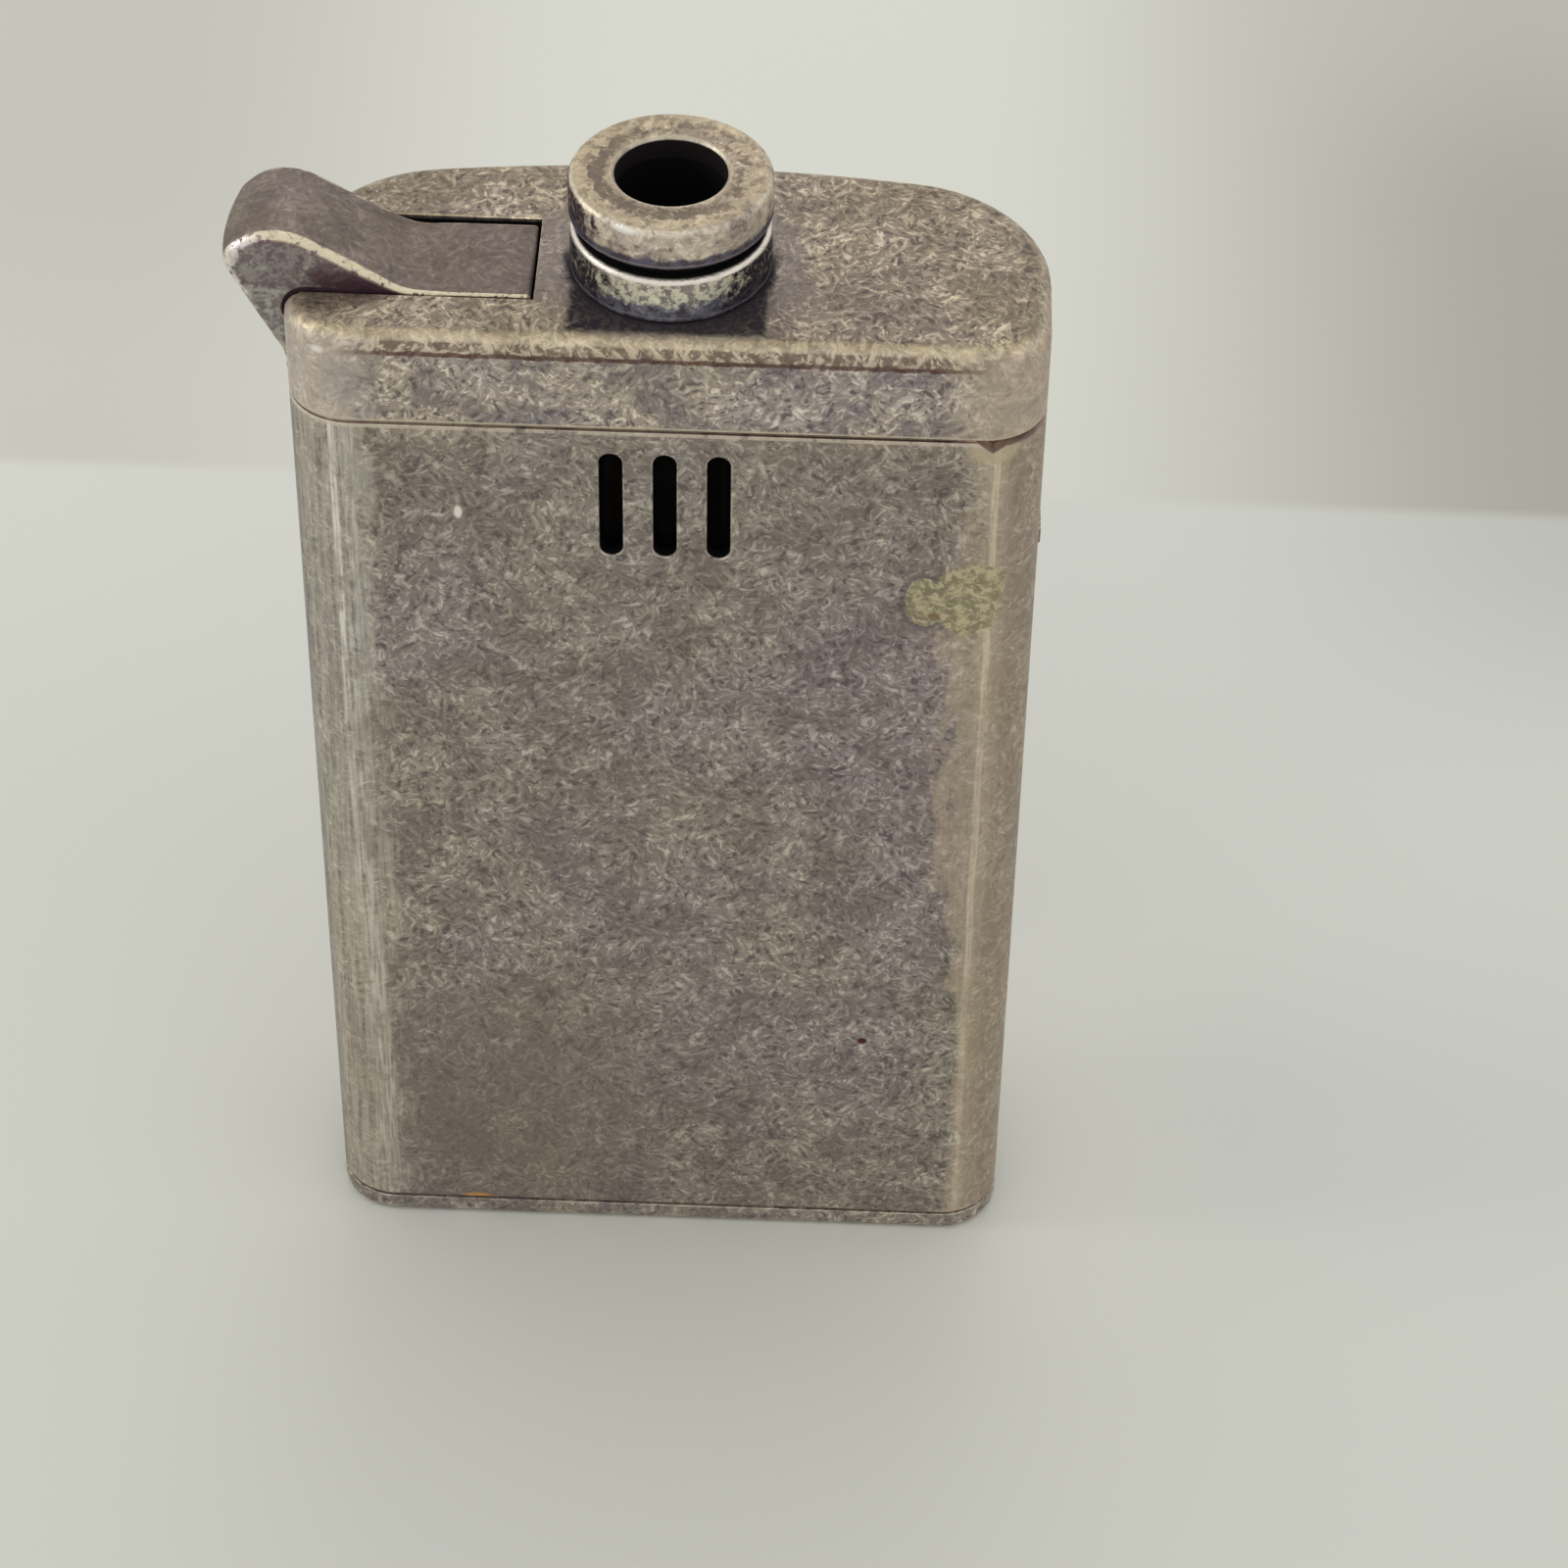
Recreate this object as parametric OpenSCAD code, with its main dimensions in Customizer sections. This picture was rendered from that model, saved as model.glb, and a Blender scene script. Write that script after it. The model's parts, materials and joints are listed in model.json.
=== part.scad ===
// Flask-shaped gas lighter: a flat-fronted case with an arched back, a round flame neck on top
// and a thumb lever in an open slot at the top left corner.
// Millimetres. The origin is the centre of the underside, +X to the right, +Y to the back, +Z up.

/* [Case] */
// Width of the case
body_w = 40; // [38:0.5:44]
// Depth of the case from its flat front to the crown of its back
body_d = 16.4; // [16:0.1:18]
// Radius of the two front corners, seen from above
front_r = 3.4; // [2.6:0.1:3.8]
// Radius of the two rear corners, seen from above
rear_r = 8.2; // [7.4:0.1:8.6]
// Radius of the gently arched back
back_r = 90; // [70:5:140]
// Thickness of the base plate
base_h = 1.5; // [1.2:0.1:2]
// Height of the case between its two seams
case_h = 60.4; // [57:0.1:70]
// Height of the top cover above the upper seam
cover_h = 5.65; // [5.4:0.05:6.4]
// Wall of the case
case_wall = 0.8; // [0.6:0.05:1]
// Wall of the top cover
cover_wall = 1.2; // [1:0.05:1.4]
// Rounding of the cover's upper edge
cover_edge = 1.2; // [0.8:0.1:1.4]
// Rounding of the base plate's lower edge
base_edge = 0.5; // [0.3:0.1:0.8]
// Height of the locating lips on the cover and the base plate
lip_h = 1.2; // [1:0.1:1.6]
// Thickness of the locating lips
lip_wall = 0.8; // [0.6:0.05:1]
// Height and depth of the shadow groove along both seams
seam_groove = 0.2; // [0.1:0.05:0.3]
// Height of the wider seam gap at the front right corner
corner_gap = 0.45; // [0.3:0.05:0.6]
// Depth of the nick in the case's edge at that corner
corner_nick = 0.85; // [0.6:0.05:1]

/* [Air vents] */
// Number of air vents in the front
vent_count = 3; // [2:1:4]
// Width of one vent
vent_w = 1.25; // [1:0.05:1.6]
// Height of one vent
vent_h = 6.95; // [5:0.05:8]
// Distance from one vent to the next
vent_pitch = 2.86; // [2.4:0.02:3.4]
// Distance of the vents' upper ends below the upper seam
vent_drop = 1.7; // [1.4:0.1:2.4]

/* [Neck] */
// Distance of the neck's axis behind the front face, as a share of the case's depth
neck_share = 0.43; // [0.42:0.005:0.44]
// Radius of the flame opening
flame_r = 2.95; // [2.8:0.05:3]
// Radius of the collar on the top face
collar_r = 5.3; // [4.9:0.05:5.6]
// Height of the collar
collar_h = 2.7; // [2.2:0.1:3.4]
// Height of the dark groove between the collar and the ring
groove_h = 0.65; // [0.4:0.05:1]
// Radius at the bottom of the groove
groove_r = 4.5; // [4.3:0.05:4.6]
// Radius of the ring above the groove
ring_r = 5.35; // [4.95:0.05:5.7]
// Height of the ring
ring_h = 2.5; // [2:0.1:3.2]
// Rounding of the ring's outer edges
ring_edge = 0.5; // [0.3:0.05:0.7]
// Wall of the wind guard inside the neck
guard_wall = 0.35; // [0.3:0.05:0.4]

/* [Thumb lever] */
// Width of the lever, as a share of the case's depth
lever_share = 0.384; // [0.36:0.004:0.392]
// Gap between the lever and the front wall of its slot
slot_gap = 0.12; // [0.1:0.01:0.2]
// Gap between the lever and the rear wall of its slot
rear_gap = 0.63; // [0.5:0.01:0.7]
// Distance of the slot's inner end from the neck's axis, as a share of half the width
slot_share = 0.35; // [0.34:0.005:0.365]
// Gap between the lever and the inner end of its slot
end_gap = 0.15; // [0.1:0.01:0.25]
// Length of the lever's flat stretch, flush with the top face, as a share of half the width
flush_share = 0.3275; // [0.3:0.0025:0.35]
// Height of the lever's crest above the top face, before rounding
crest_rise = 4.2; // [4:0.05:4.5]
// Distance that the crest stands out past the side, before rounding
crest_out = 0.65; // [0.4:0.05:0.8]
// Rounding of the crest
crest_round = 3.5; // [2.4:0.1:3.5]
// Height of the thumb nose above the top face, before rounding
nose_rise = 1.8; // [1.6:0.05:2]
// Distance that the thumb nose stands out past the side, before rounding
nose_out = 3.65; // [3.5:0.05:4]
// Rounding of the thumb nose
nose_round = 1.25; // [0.8:0.05:1.25]
// Thickness of the lever's top plate and cheeks
lever_wall = 1.2; // [1:0.05:1.4]
// Distance of the lever's pivot from the neck's axis, as a share of half the width
pivot_share = 0.29; // [0.285:0.005:0.3]
// Distance of the lever's pivot below the top face
pivot_drop = 4.4; // [4.3:0.05:4.6]
// Radius of the lever's pivot pin
lever_pin_r = 0.9; // [0.7:0.05:1]
// Angle that the lever turns through when it is pressed
press_angle = 14; // [10:1:15]

/* [Gas valve] */
// Distance of the fork's pivot from the neck's axis, as a share of half the width
fork_share = 0.22; // [0.21:0.005:0.23]
// Distance of the fork's pivot below the lever's pivot
fork_drop = 6.05; // [5.8:0.05:6.4]
// Radius of the fork's pivot pin
fork_pin_r = 0.6; // [0.5:0.05:0.7]
// Thickness of the fork
fork_t = 0.6; // [0.5:0.05:0.8]
// Radius of the burner's gas tube
stem_r = 0.9; // [0.8:0.05:0.95]
// Radius of the burner nozzle
nozzle_r = 1.5; // [1.3:0.05:1.7]
// Height of the burner nozzle
nozzle_h = 4.8; // [4:0.1:5.4]
// Radius of the valve's threaded body
valve_r = 2.3; // [2.1:0.05:2.4]
// Wall of the gas tank
tank_wall = 1.2; // [1:0.05:1.5]
// Thickness of the gas tank's floor, which takes the base screws
tank_floor = 4; // [3.6:0.1:5]
// Thickness of the gas tank's lid
lid_t = 1.6; // [1.5:0.05:2]

/* [Frame] */
// Distance of the frame's deck below the top face
deck_drop = 20.25; // [19.8:0.05:20.8]
// Thickness of the frame's deck
deck_t = 1.2; // [1:0.05:1.5]
// Thickness of the two ears that carry the pivots
ear_t = 1.2; // [1:0.05:1.3]

/* [Igniter] */
// Distance of the igniter's centre from the left side, as a share of half the width
piezo_share = 0.315; // [0.31:0.005:0.33]
// Width of the igniter's housing, as a share of half the width
piezo_w_share = 0.28; // [0.27:0.005:0.29]
// Depth of the igniter's housing, as a share of the case's depth
piezo_d_share = 0.463; // [0.44:0.001:0.475]
// Height of the igniter's housing
piezo_h = 26; // [24:0.5:30]
// Wall of the igniter's housing around its plunger
piezo_wall = 0.5; // [0.4:0.05:0.6]
// Height of the plunger above the housing
plunger_out = 9.45; // [9:0.05:10]
// Travel of the igniter's hammer
strike = 1.95; // [1.5:0.05:2.2]

/* [Flame adjuster] */
// Distance of the adjuster's underside below the top face
adjust_drop = 17.65; // [17.4:0.05:17.8]
// Thickness of the adjuster
adjust_t = 1.1; // [0.9:0.05:1.2]
// Width of the adjuster's arm
adjust_w = 1.9; // [1.6:0.1:2]
// Distance that the adjuster's tip stands out past the side
adjust_out = 0.25; // [0.2:0.05:0.5]
// Angle that the adjuster swings through to either side
adjust_swing = 6; // [4:1:6]

/* [Base fittings] */
// Distance of the refill valve from the middle, as a share of half the width
fill_share = 0.4; // [0.35:0.01:0.45]
// Radius of the refill valve's body
fill_r = 2.15; // [2:0.05:2.3]
// Distance of the base screws from the middle, as a share of half the width
base_screw_share = 0.725; // [0.7:0.005:0.75]
// Radius of the cover screws
screw_r = 0.6; // [0.5:0.05:0.65]
// Depth that the cover screws reach above the frame's deck
screw_depth = 6.5; // [5:0.1:8]

/* [Fits] */
// Radial clearance of a turning fit
turn_fit = 0.05; // [0.03:0.01:0.08]
// Clearance of a fixed seat
seat_fit = 0.02; // [0.01:0.005:0.03]
// Clearance of a sliding fit
slide_fit = 0.1; // [0.08:0.01:0.12]
// Clearance between the case and what stands inside it
case_fit = 0.35; // [0.3:0.05:0.4]

/* [Hidden] */

$fn = 64;
past = 1;
touch = 0.05;

aged_silver = [0.56, 0.52, 0.47];
dark_silver = [0.42, 0.40, 0.38];
steel = [0.66, 0.67, 0.69];
brass = [0.78, 0.62, 0.30];
smoke_plastic = [0.55, 0.60, 0.62];
black_plastic = [0.12, 0.12, 0.13];
white_ceramic = [0.88, 0.87, 0.83];
rubber_black = [0.06, 0.06, 0.06];
lead_red = [0.55, 0.10, 0.08];

half_w = body_w / 2;
front_y = -body_d / 2;
axis_y = front_y + neck_share * body_d;
back_cy = body_d / 2 - back_r;
rear_cx = half_w - rear_r;
rear_a = acos(rear_cx / (back_r - rear_r));
rear_cy = back_cy + (back_r - rear_r) * sin(rear_a);

seam_z = base_h + case_h;
top_z = seam_z + cover_h;
ceil_z = top_z - cover_wall;
lip_inset = case_wall + slide_fit;
inner_inset = case_wall + case_fit;

guard_in_r = flame_r + 0.25;
guard_out_r = guard_in_r + guard_wall;
spigot_r = collar_r - 1;
spigot_z = ceil_z - 0.85;
guard_top_z = ceil_z + 0.05;
ring_z = top_z + collar_h + groove_h;
neck_top_z = ring_z + ring_h;
ring_seat_z = ring_z + ring_h / 2;
ring_chamfer = 0.15;

lever_w = lever_share * body_d;
slot_w = lever_w + slot_gap + rear_gap;
slot_end = slot_share * half_w;
flush_len = flush_share * half_w;
slot_y0 = axis_y - slot_w / 2;
slot_y1 = axis_y + slot_w / 2;
lever_y0 = slot_y0 + slot_gap;
lever_y1 = lever_y0 + lever_w;
lever_y = (lever_y0 + lever_y1) / 2;
lever_end_x = -slot_end - end_gap;
lever_out_x = -half_w - 0.05;
pivot_x = -pivot_share * half_w;
pivot_z = top_z - pivot_drop;
boss_r = lever_pin_r + 0.8;
cheek_z = pivot_z - 1.65;
step_z = pivot_z - 0.65;
skirt_x = -half_w + case_wall + 0.15;
skirt_t = 0.85;
skirt_z = step_z - 4.4;
notch_z = skirt_z - 0.2;

piezo_w = piezo_w_share * half_w;
piezo_d = piezo_d_share * body_d;
piezo_x = -half_w + piezo_share * half_w;
nub_r = 0.8;
nub_z = pivot_z - 2.75;
plunger_top_z = nub_z - nub_r - touch;
piezo_top_z = plunger_top_z - plunger_out;
piezo_z = piezo_top_z - piezo_h;
plunger_w = piezo_w - 2 * piezo_wall - 2 * slide_fit;
plunger_d = piezo_d - 2 * piezo_wall - 2 * slide_fit;
guide_z = piezo_top_z - 10;
plunger_z = guide_z + 4.5;
spring_bore_r = 1.45;
spring_roof_z = plunger_top_z - 3.5;
hammer_r = 1.2;
hammer_h = 4;
crystal_z = piezo_z + 3;
crystal_h = 3.3;
anvil_h = 0.8;
anvil_z = crystal_z + crystal_h;
hammer_z = anvil_z + anvil_h + strike + touch;

fork_x = -fork_share * half_w;
fork_z = pivot_z - fork_drop;
fork_top_z = fork_z + fork_t / 2;
toe_r = 0.6;
toe_x = pivot_x - 0.17 * half_w;
pad_top_z = fork_z + 0.8;
toe_z = pad_top_z + touch + toe_r;
tine_gap = 2 * (stem_r + 0.15);
tine_w = 1;
tine_end_x = 0.2;

deck_top_z = top_z - deck_drop;
deck_z = deck_top_z - deck_t;
tank_top_z = deck_z - lid_t;
tank_z = base_h + lip_h + 0.15;
foot_inset = lip_inset + lip_wall + 0.25;
floor_z = base_h + tank_floor;
pocket_x = piezo_x + piezo_w / 2 + 0.4;
ear_in_y0 = lever_y0 - 0.15;
ear_in_y1 = lever_y1 + 0.15;
ear_r = lever_pin_r + 1;

flange_r = 2.1;
flange_t = 0.6;
flange_z = fork_top_z + 0.1;
nozzle_z = flange_z + flange_t;
stem_top_z = nozzle_z + nozzle_h - 0.8;
guard_z = nozzle_z + 1.3;
adjust_z = top_z - adjust_drop;
cap_z = adjust_z + adjust_t + touch;
cap_h = 0.9;
valve_top_z = cap_z + cap_h + 0.2;
valve_z = deck_top_z - 4.4;
valve_floor_z = valve_z + 1.2;
valve_roof_z = valve_top_z - 1.2;
valve_chamber_r = valve_r - 0.65;
seal_t = 0.55;
foot_z = valve_floor_z + touch + seal_t;
foot_t = 0.6;
tube_r = 0.9;
tube_seat = 0.6;

nut_h = 1.6;
tip_x = half_w + adjust_out;
adjust_slot = tip_x * sin(adjust_swing) + adjust_w / 2 + 0.3;
adjust_ring_r = 3.4;
feed_z = floor_z + 0.8;
fill_x = fill_share * half_w;
fill_recess = 0.5;
fill_flange_r = fill_r + 0.75;
fill_top_z = base_h + 7.5;
fill_stem_r = 0.7;
fill_collar_r = 1.15;
fill_chamber_r = 1.4;
fill_chamber_z = base_h + 1.6;
fill_collar_z = fill_chamber_z + touch + seal_t;

screw_head_r = screw_r + 0.4;
screw_head_h = 1;
post_r = screw_r + 0.55;
post_inset = inner_inset + post_r;
seat_inset = inner_inset + screw_head_r + 0.6;
cover_screws_at = [
  [piezo_x - 0.2, back_y(piezo_x - 0.2, post_inset)],
  [half_w / 2, front_y + seat_inset],
  [0.675 * half_w, back_y(0.675 * half_w, seat_inset)]];
base_shank_r = 0.95;
base_head_r = 1.8;
base_sink_h = base_head_r - base_shank_r + slide_fit;
base_screw_x = base_screw_share * half_w;
base_screws_at = [[-base_screw_x, axis_y], [base_screw_x, axis_y]];

insulator_y = axis_y + guard_out_r + 1.9;
insulator_r = 1;
holder_y = body_d / 2 - inner_inset - 0.2;
insulator_z = deck_top_z + 2.2;
insulator_h = 11.6;
electrode_r = 0.3;
electrode_z = nozzle_z + nozzle_h + 1.6;
holder_z = deck_top_z + 4.8;
holder_h = 2;
lead_r = 0.45;
lead_x = piezo_x + piezo_w / 2 - 0.7;
lead_z = deck_top_z + 1.2;

// Points of a round stretch, from one angle to another, in equal steps.
function arc(centre, r, from, to, steps) =
  [for (i = [0:steps]) let (a = from + (to - from) * i / steps) centre + r * [cos(a), sin(a)]];

// The same stretch without its two end points.
function inner_arc(centre, r, from, to, steps) =
  [for (i = [1:steps - 1]) let (a = from + (to - from) * i / steps) centre + r * [cos(a), sin(a)]];

// Outline of the case seen from above: flat front, round corners and an arched back.
function outline(inset) = concat(
  arc([half_w - front_r, front_y + front_r], front_r - inset, -90, 0, 10),
  arc([rear_cx, rear_cy], rear_r - inset, 0, rear_a, 16),
  inner_arc([0, back_cy], back_r - inset, rear_a, 180 - rear_a, 10),
  arc([-rear_cx, rear_cy], rear_r - inset, 180 - rear_a, 180, 16),
  arc([front_r - half_w, front_y + front_r], front_r - inset, 180, 270, 10));

// Depth of the outline's arched back at a place along the width, drawn in by inset.
function back_y(x, inset) = let (
  side = abs(x) - rear_cx,
  on_corner = abs(x) > (back_r - inset) * cos(rear_a))
  on_corner ? rear_cy + sqrt(pow(rear_r - inset, 2) - side * side)
    : back_cy + sqrt(pow(back_r - inset, 2) - x * x);

function unit(v) = v / norm(v);

function short_turn(a) = a > 180 ? a - 360 : (a < -180 ? a + 360 : a);

// The round that replaces one corner of an outline.
function corner(before, here, after, r) = let (
  u = unit(before - here),
  v = unit(after - here),
  half = acos(u * v) / 2,
  centre = here + unit(u + v) * r / sin(half),
  start = here + u * r / tan(half) - centre,
  end = here + v * r / tan(half) - centre,
  a = atan2(start[1], start[0]),
  sweep = short_turn(atan2(end[1], end[0]) - a))
  arc(centre, r, a, a + sweep, 8);

// Outline through corners given as [x, y, radius], each rounded by its own radius.
function rounded(corners) = [for (i = [0:len(corners) - 1]) let (
  n = len(corners),
  here = [corners[i][0], corners[i][1]],
  b = corners[(i + n - 1) % n],
  c = corners[(i + 1) % n])
  each corners[i][2] > 0 ? corner([b[0], b[1]], here, [c[0], c[1]], corners[i][2]) : [here]];

// Solid of the case's outline, drawn in by inset, between two heights.
module slab(inset, z0, z1) {
  translate([0, 0, z0])
    linear_extrude(z1 - z0)
      polygon(outline(inset));
}

// Ring that follows the case's outline.
module rim(inset, wall, z0, z1) {
  difference() {
    slab(inset, z0, z1);
    slab(inset + wall, z0 - past, z1 + past);
  }
}

module block(x0, x1, y0, y1, z0, z1) {
  translate([x0, y0, z0])
    cube([x1 - x0, y1 - y0, z1 - z0]);
}

// Upright cylinder at a place seen from above.
module post(at, r, z0, z1) {
  translate([at[0], at[1], z0])
    cylinder(r = r, h = z1 - z0);
}

// Cylinder that lies along Y.
module crossbar(x, z, r, y0, y1) {
  translate([x, y0, z])
    rotate([-90, 0, 0])
      cylinder(r = r, h = y1 - y0);
}

// Side profile, drawn in X and Z, given a width along Y.
module across(y0, y1) {
  translate([0, y1, 0])
    rotate([90, 0, 0])
      linear_extrude(y1 - y0)
        children();
}

// Turned part on an upright axis, from its profile in radius and height.
module turned(at, profile) {
  translate([at[0], at[1], 0])
    rotate_extrude()
      polygon(profile);
}

// Round wire through the given points.
module wire(points, r) {
  for (i = [0:len(points) - 2]) {
    run = points[i + 1] - points[i];
    translate(points[i])
      rotate([0, acos(run[2] / norm(run)), atan2(run[1], run[0])])
        cylinder(r = r, h = norm(run), $fn = 24);
  }
  for (i = [1:len(points) - 2])
    translate(points[i])
      sphere(r = r, $fn = 24);
}

// Coil spring: one unbroken tube of six sides with eight rings to a turn.
module coil(at, mean_r, wire_r, z0, z1, turns) {
  rings = 8 * turns;
  climb = z1 - z0 - 2 * wire_r;
  points = [for (i = [0:rings], k = [0:5]) let (
    a = 45 * i,
    b = 60 * k,
    out = mean_r + wire_r * cos(b))
    [at[0] + out * cos(a), at[1] + out * sin(a), z0 + wire_r + climb * i / rings + wire_r * sin(b)]];
  sides = [for (i = [0:rings - 1], k = [0:5]) let (
    p = 6 * i + k,
    q = 6 * i + (k + 1) % 6)
    each [[p, q, q + 6], [p, q + 6, p + 6]]];
  first = [for (k = [1:4]) [0, k + 1, k]];
  last = [for (k = [1:4]) [6 * rings, 6 * rings + k, 6 * rings + k + 1]];
  polyhedron(points, concat(sides, first, last));
}

// Screw with a round head below its seat and its shank pointing up.
module pan_screw(at, seat_z, shank) {
  difference() {
    union() {
      post(at, screw_head_r, seat_z - screw_head_h, seat_z);
      post(at, screw_r, seat_z, seat_z + shank);
    }
    translate([at[0], at[1], seat_z - screw_head_h])
      cube([2 * screw_head_r + past, 0.4, 0.8], center = true);
  }
}

// Screw with a countersunk head flush with the underside.
module flush_screw(at, head_z, end_z) {
  cone_h = base_head_r - base_shank_r;
  difference() {
    turned(at, [
      [0, head_z], [base_head_r, head_z], [base_shank_r, head_z + cone_h], [base_shank_r, end_z],
      [0, end_z]]);
    translate([at[0], at[1], head_z])
      cube([2 * base_head_r + past, 0.5, 0.8], center = true);
  }
}

module case_shell() {
  color(aged_silver)
    difference() {
      union() {
        slab(0, base_h, seam_z - seam_groove);
        slab(seam_groove, base_h, seam_z);
      }
      slab(case_wall, base_h - past, seam_z + past);
      vents();
      worn_corner();
      block(half_w - front_r, half_w + past, axis_y - adjust_slot, axis_y + adjust_slot,
        adjust_z - 0.2, adjust_z + adjust_t + 0.2);
      block(-half_w - past, skirt_x + past, slot_y0, slot_y1, notch_z, seam_z + past);
    }
}

// Air vents: upright slots with round ends.
module vents() {
  vent_r = vent_w / 2;
  high = seam_z - vent_drop - vent_r;
  low = high - vent_h + vent_w;
  for (i = [0:vent_count - 1]) {
    x = (i - (vent_count - 1) / 2) * vent_pitch;
    block(x - vent_r, x + vent_r, front_y - past, front_y + 2 * case_wall, low, high);
    for (z = [low, high])
      crossbar(x, z, vent_r, front_y - past, front_y + 2 * case_wall);
  }
}

// The seam's wider gap round the front right corner, with a nick where it starts.
module worn_corner() {
  nick_x = half_w - front_r + 0.6;
  across(front_y - past, front_y + front_r)
    polygon([
      [nick_x - 0.9, seam_z - seam_groove], [nick_x, seam_z - corner_nick],
      [nick_x + 0.6, seam_z - corner_gap], [half_w + past, seam_z - corner_gap],
      [half_w + past, seam_z + past], [nick_x - 0.9, seam_z + past]]);
}

module top_cover() {
  color(aged_silver)
    difference() {
      union() {
        difference() {
          hull()
            for (a = [0, 18, 36, 54, 72, 90])
              slab(cover_edge * (1 - cos(a)), seam_z, top_z - cover_edge * (1 - sin(a)));
          slab(cover_wall, seam_z - past, ceil_z);
        }
        rim(lip_inset, lip_wall, seam_z - lip_h, seam_z + lip_h);
        for (at = cover_screws_at)
          post(at, post_r, deck_top_z, ceil_z + touch);
      }
      block(-half_w - past, -slot_end, slot_y0, slot_y1, seam_z - lip_h - past, top_z + past);
      post([0, axis_y], spigot_r + seat_fit, ceil_z - past, top_z + past);
      for (at = cover_screws_at)
        post(at, screw_r + seat_fit, deck_top_z - past, deck_z + screw_depth);
    }
}

module base_plate() {
  color(aged_silver)
    difference() {
      union() {
        hull()
          for (a = [0, 30, 60, 90])
            slab(base_edge * (1 - cos(a)), base_edge * (1 - sin(a)), base_h - seam_groove);
        slab(seam_groove, base_h / 2, base_h);
        rim(lip_inset, lip_wall, base_h / 2, base_h + lip_h);
      }
      post([fill_x, axis_y], fill_flange_r + 0.15, -past, base_h + past);
      for (at = base_screws_at) {
        post(at, base_shank_r + slide_fit, -past, base_h + past);
        turned(at, [
          [0, -past], [base_head_r + slide_fit + past, -past], [base_shank_r, base_sink_h],
          [0, base_sink_h]]);
      }
    }
}

module neck_collar() {
  edge = 0.25;
  color(dark_silver)
    turned([0, axis_y], [
      [flame_r, guard_top_z], [flame_r, ring_seat_z], [groove_r, ring_seat_z],
      [groove_r, top_z + collar_h], [collar_r - edge, top_z + collar_h],
      [collar_r, top_z + collar_h - edge], [collar_r, top_z + edge], [collar_r - edge, top_z],
      [spigot_r, top_z], [spigot_r, spigot_z], [guard_out_r + seat_fit, spigot_z],
      [guard_out_r + seat_fit, guard_top_z]]);
}

module neck_ring() {
  low = ring_z + ring_edge / 2;
  high = neck_top_z - ring_edge;
  color(aged_silver)
    turned([0, axis_y], concat(
      [[groove_r + seat_fit, ring_z], [ring_r - ring_edge / 2, ring_z]],
      inner_arc([ring_r - ring_edge / 2, low], ring_edge / 2, -90, 0, 4),
      arc([ring_r - ring_edge, high], ring_edge, 0, 90, 8),
      [[flame_r + ring_chamfer, neck_top_z], [flame_r, neck_top_z - ring_chamfer]],
      [[flame_r, ring_seat_z], [groove_r + seat_fit, ring_seat_z]]));
}

module wind_guard() {
  color(steel)
    difference() {
      post([0, axis_y], guard_out_r, guard_z, guard_top_z);
      post([0, axis_y], guard_in_r, guard_z - past, guard_top_z + past);
      crossbar(0, electrode_z, electrode_r + 0.4, axis_y, axis_y + guard_out_r + past);
    }
}

module lever_profile() {
  polygon(rounded([
    [lever_end_x, top_z + touch, 0.2],
    [lever_end_x - flush_len, top_z + touch, 3],
    [-half_w - crest_out, top_z + crest_rise, crest_round],
    [-half_w - nose_out, top_z + nose_rise, nose_round],
    [lever_out_x, top_z - 4.6, 4],
    [lever_out_x, step_z, 0],
    [skirt_x, step_z, 0],
    [skirt_x, skirt_z, 0],
    [skirt_x + skirt_t, skirt_z, 0],
    [skirt_x + skirt_t, cheek_z, 0],
    [lever_end_x, cheek_z, 0]]));
  translate([lever_end_x - touch, pivot_z - boss_r])
    square([pivot_x - lever_end_x + touch, 2 * boss_r]);
  translate([pivot_x, pivot_z])
    circle(r = boss_r);
}

// The hollow under the lever's top plate, between its cheeks.
module lever_hollow() {
  roof_z = top_z - 1.5;
  polygon([
    [skirt_x + skirt_t + lever_wall, roof_z], [skirt_x + skirt_t, cheek_z + 0.6],
    [skirt_x + skirt_t, cheek_z - past], [pivot_x + boss_r + past, cheek_z - past],
    [pivot_x + boss_r + past, roof_z - 0.8], [lever_end_x - lever_wall, roof_z - 0.8],
    [lever_end_x - lever_wall, roof_z]]);
}

// The lever's middle rib, with the nub over the igniter and the toe over the gas fork.
module lever_rib() {
  roof_z = top_z - 1.4;
  polygon([
    [piezo_x - nub_r, roof_z], [piezo_x - nub_r, nub_z], [piezo_x + nub_r, nub_z],
    [piezo_x + nub_r, cheek_z + 0.4], [toe_x - toe_r, cheek_z - 0.6], [toe_x - toe_r, toe_z],
    [toe_x + toe_r, toe_z], [lever_end_x - lever_wall + touch, cheek_z + 0.6],
    [lever_end_x - lever_wall + touch, roof_z]]);
  translate([piezo_x, nub_z])
    circle(r = nub_r);
  translate([toe_x, toe_z])
    circle(r = toe_r);
}

module thumb_lever() {
  color(aged_silver)
    difference() {
      union() {
        difference() {
          across(lever_y0, lever_y1)
            lever_profile();
          across(lever_y0 + lever_wall, lever_y1 - lever_wall)
            lever_hollow();
        }
        across(lever_y - lever_wall, lever_y + lever_wall)
          lever_rib();
      }
      crossbar(pivot_x, pivot_z, lever_pin_r + turn_fit, lever_y0 - past, lever_y1 + past);
    }
}

module lever_pin() {
  color(steel)
    crossbar(pivot_x, pivot_z, lever_pin_r, ear_in_y0 - ear_t, ear_in_y1 + ear_t);
}

module fork_pin() {
  color(steel)
    crossbar(fork_x, fork_z, fork_pin_r, ear_in_y0 - ear_t, ear_in_y1 + ear_t);
}

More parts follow.
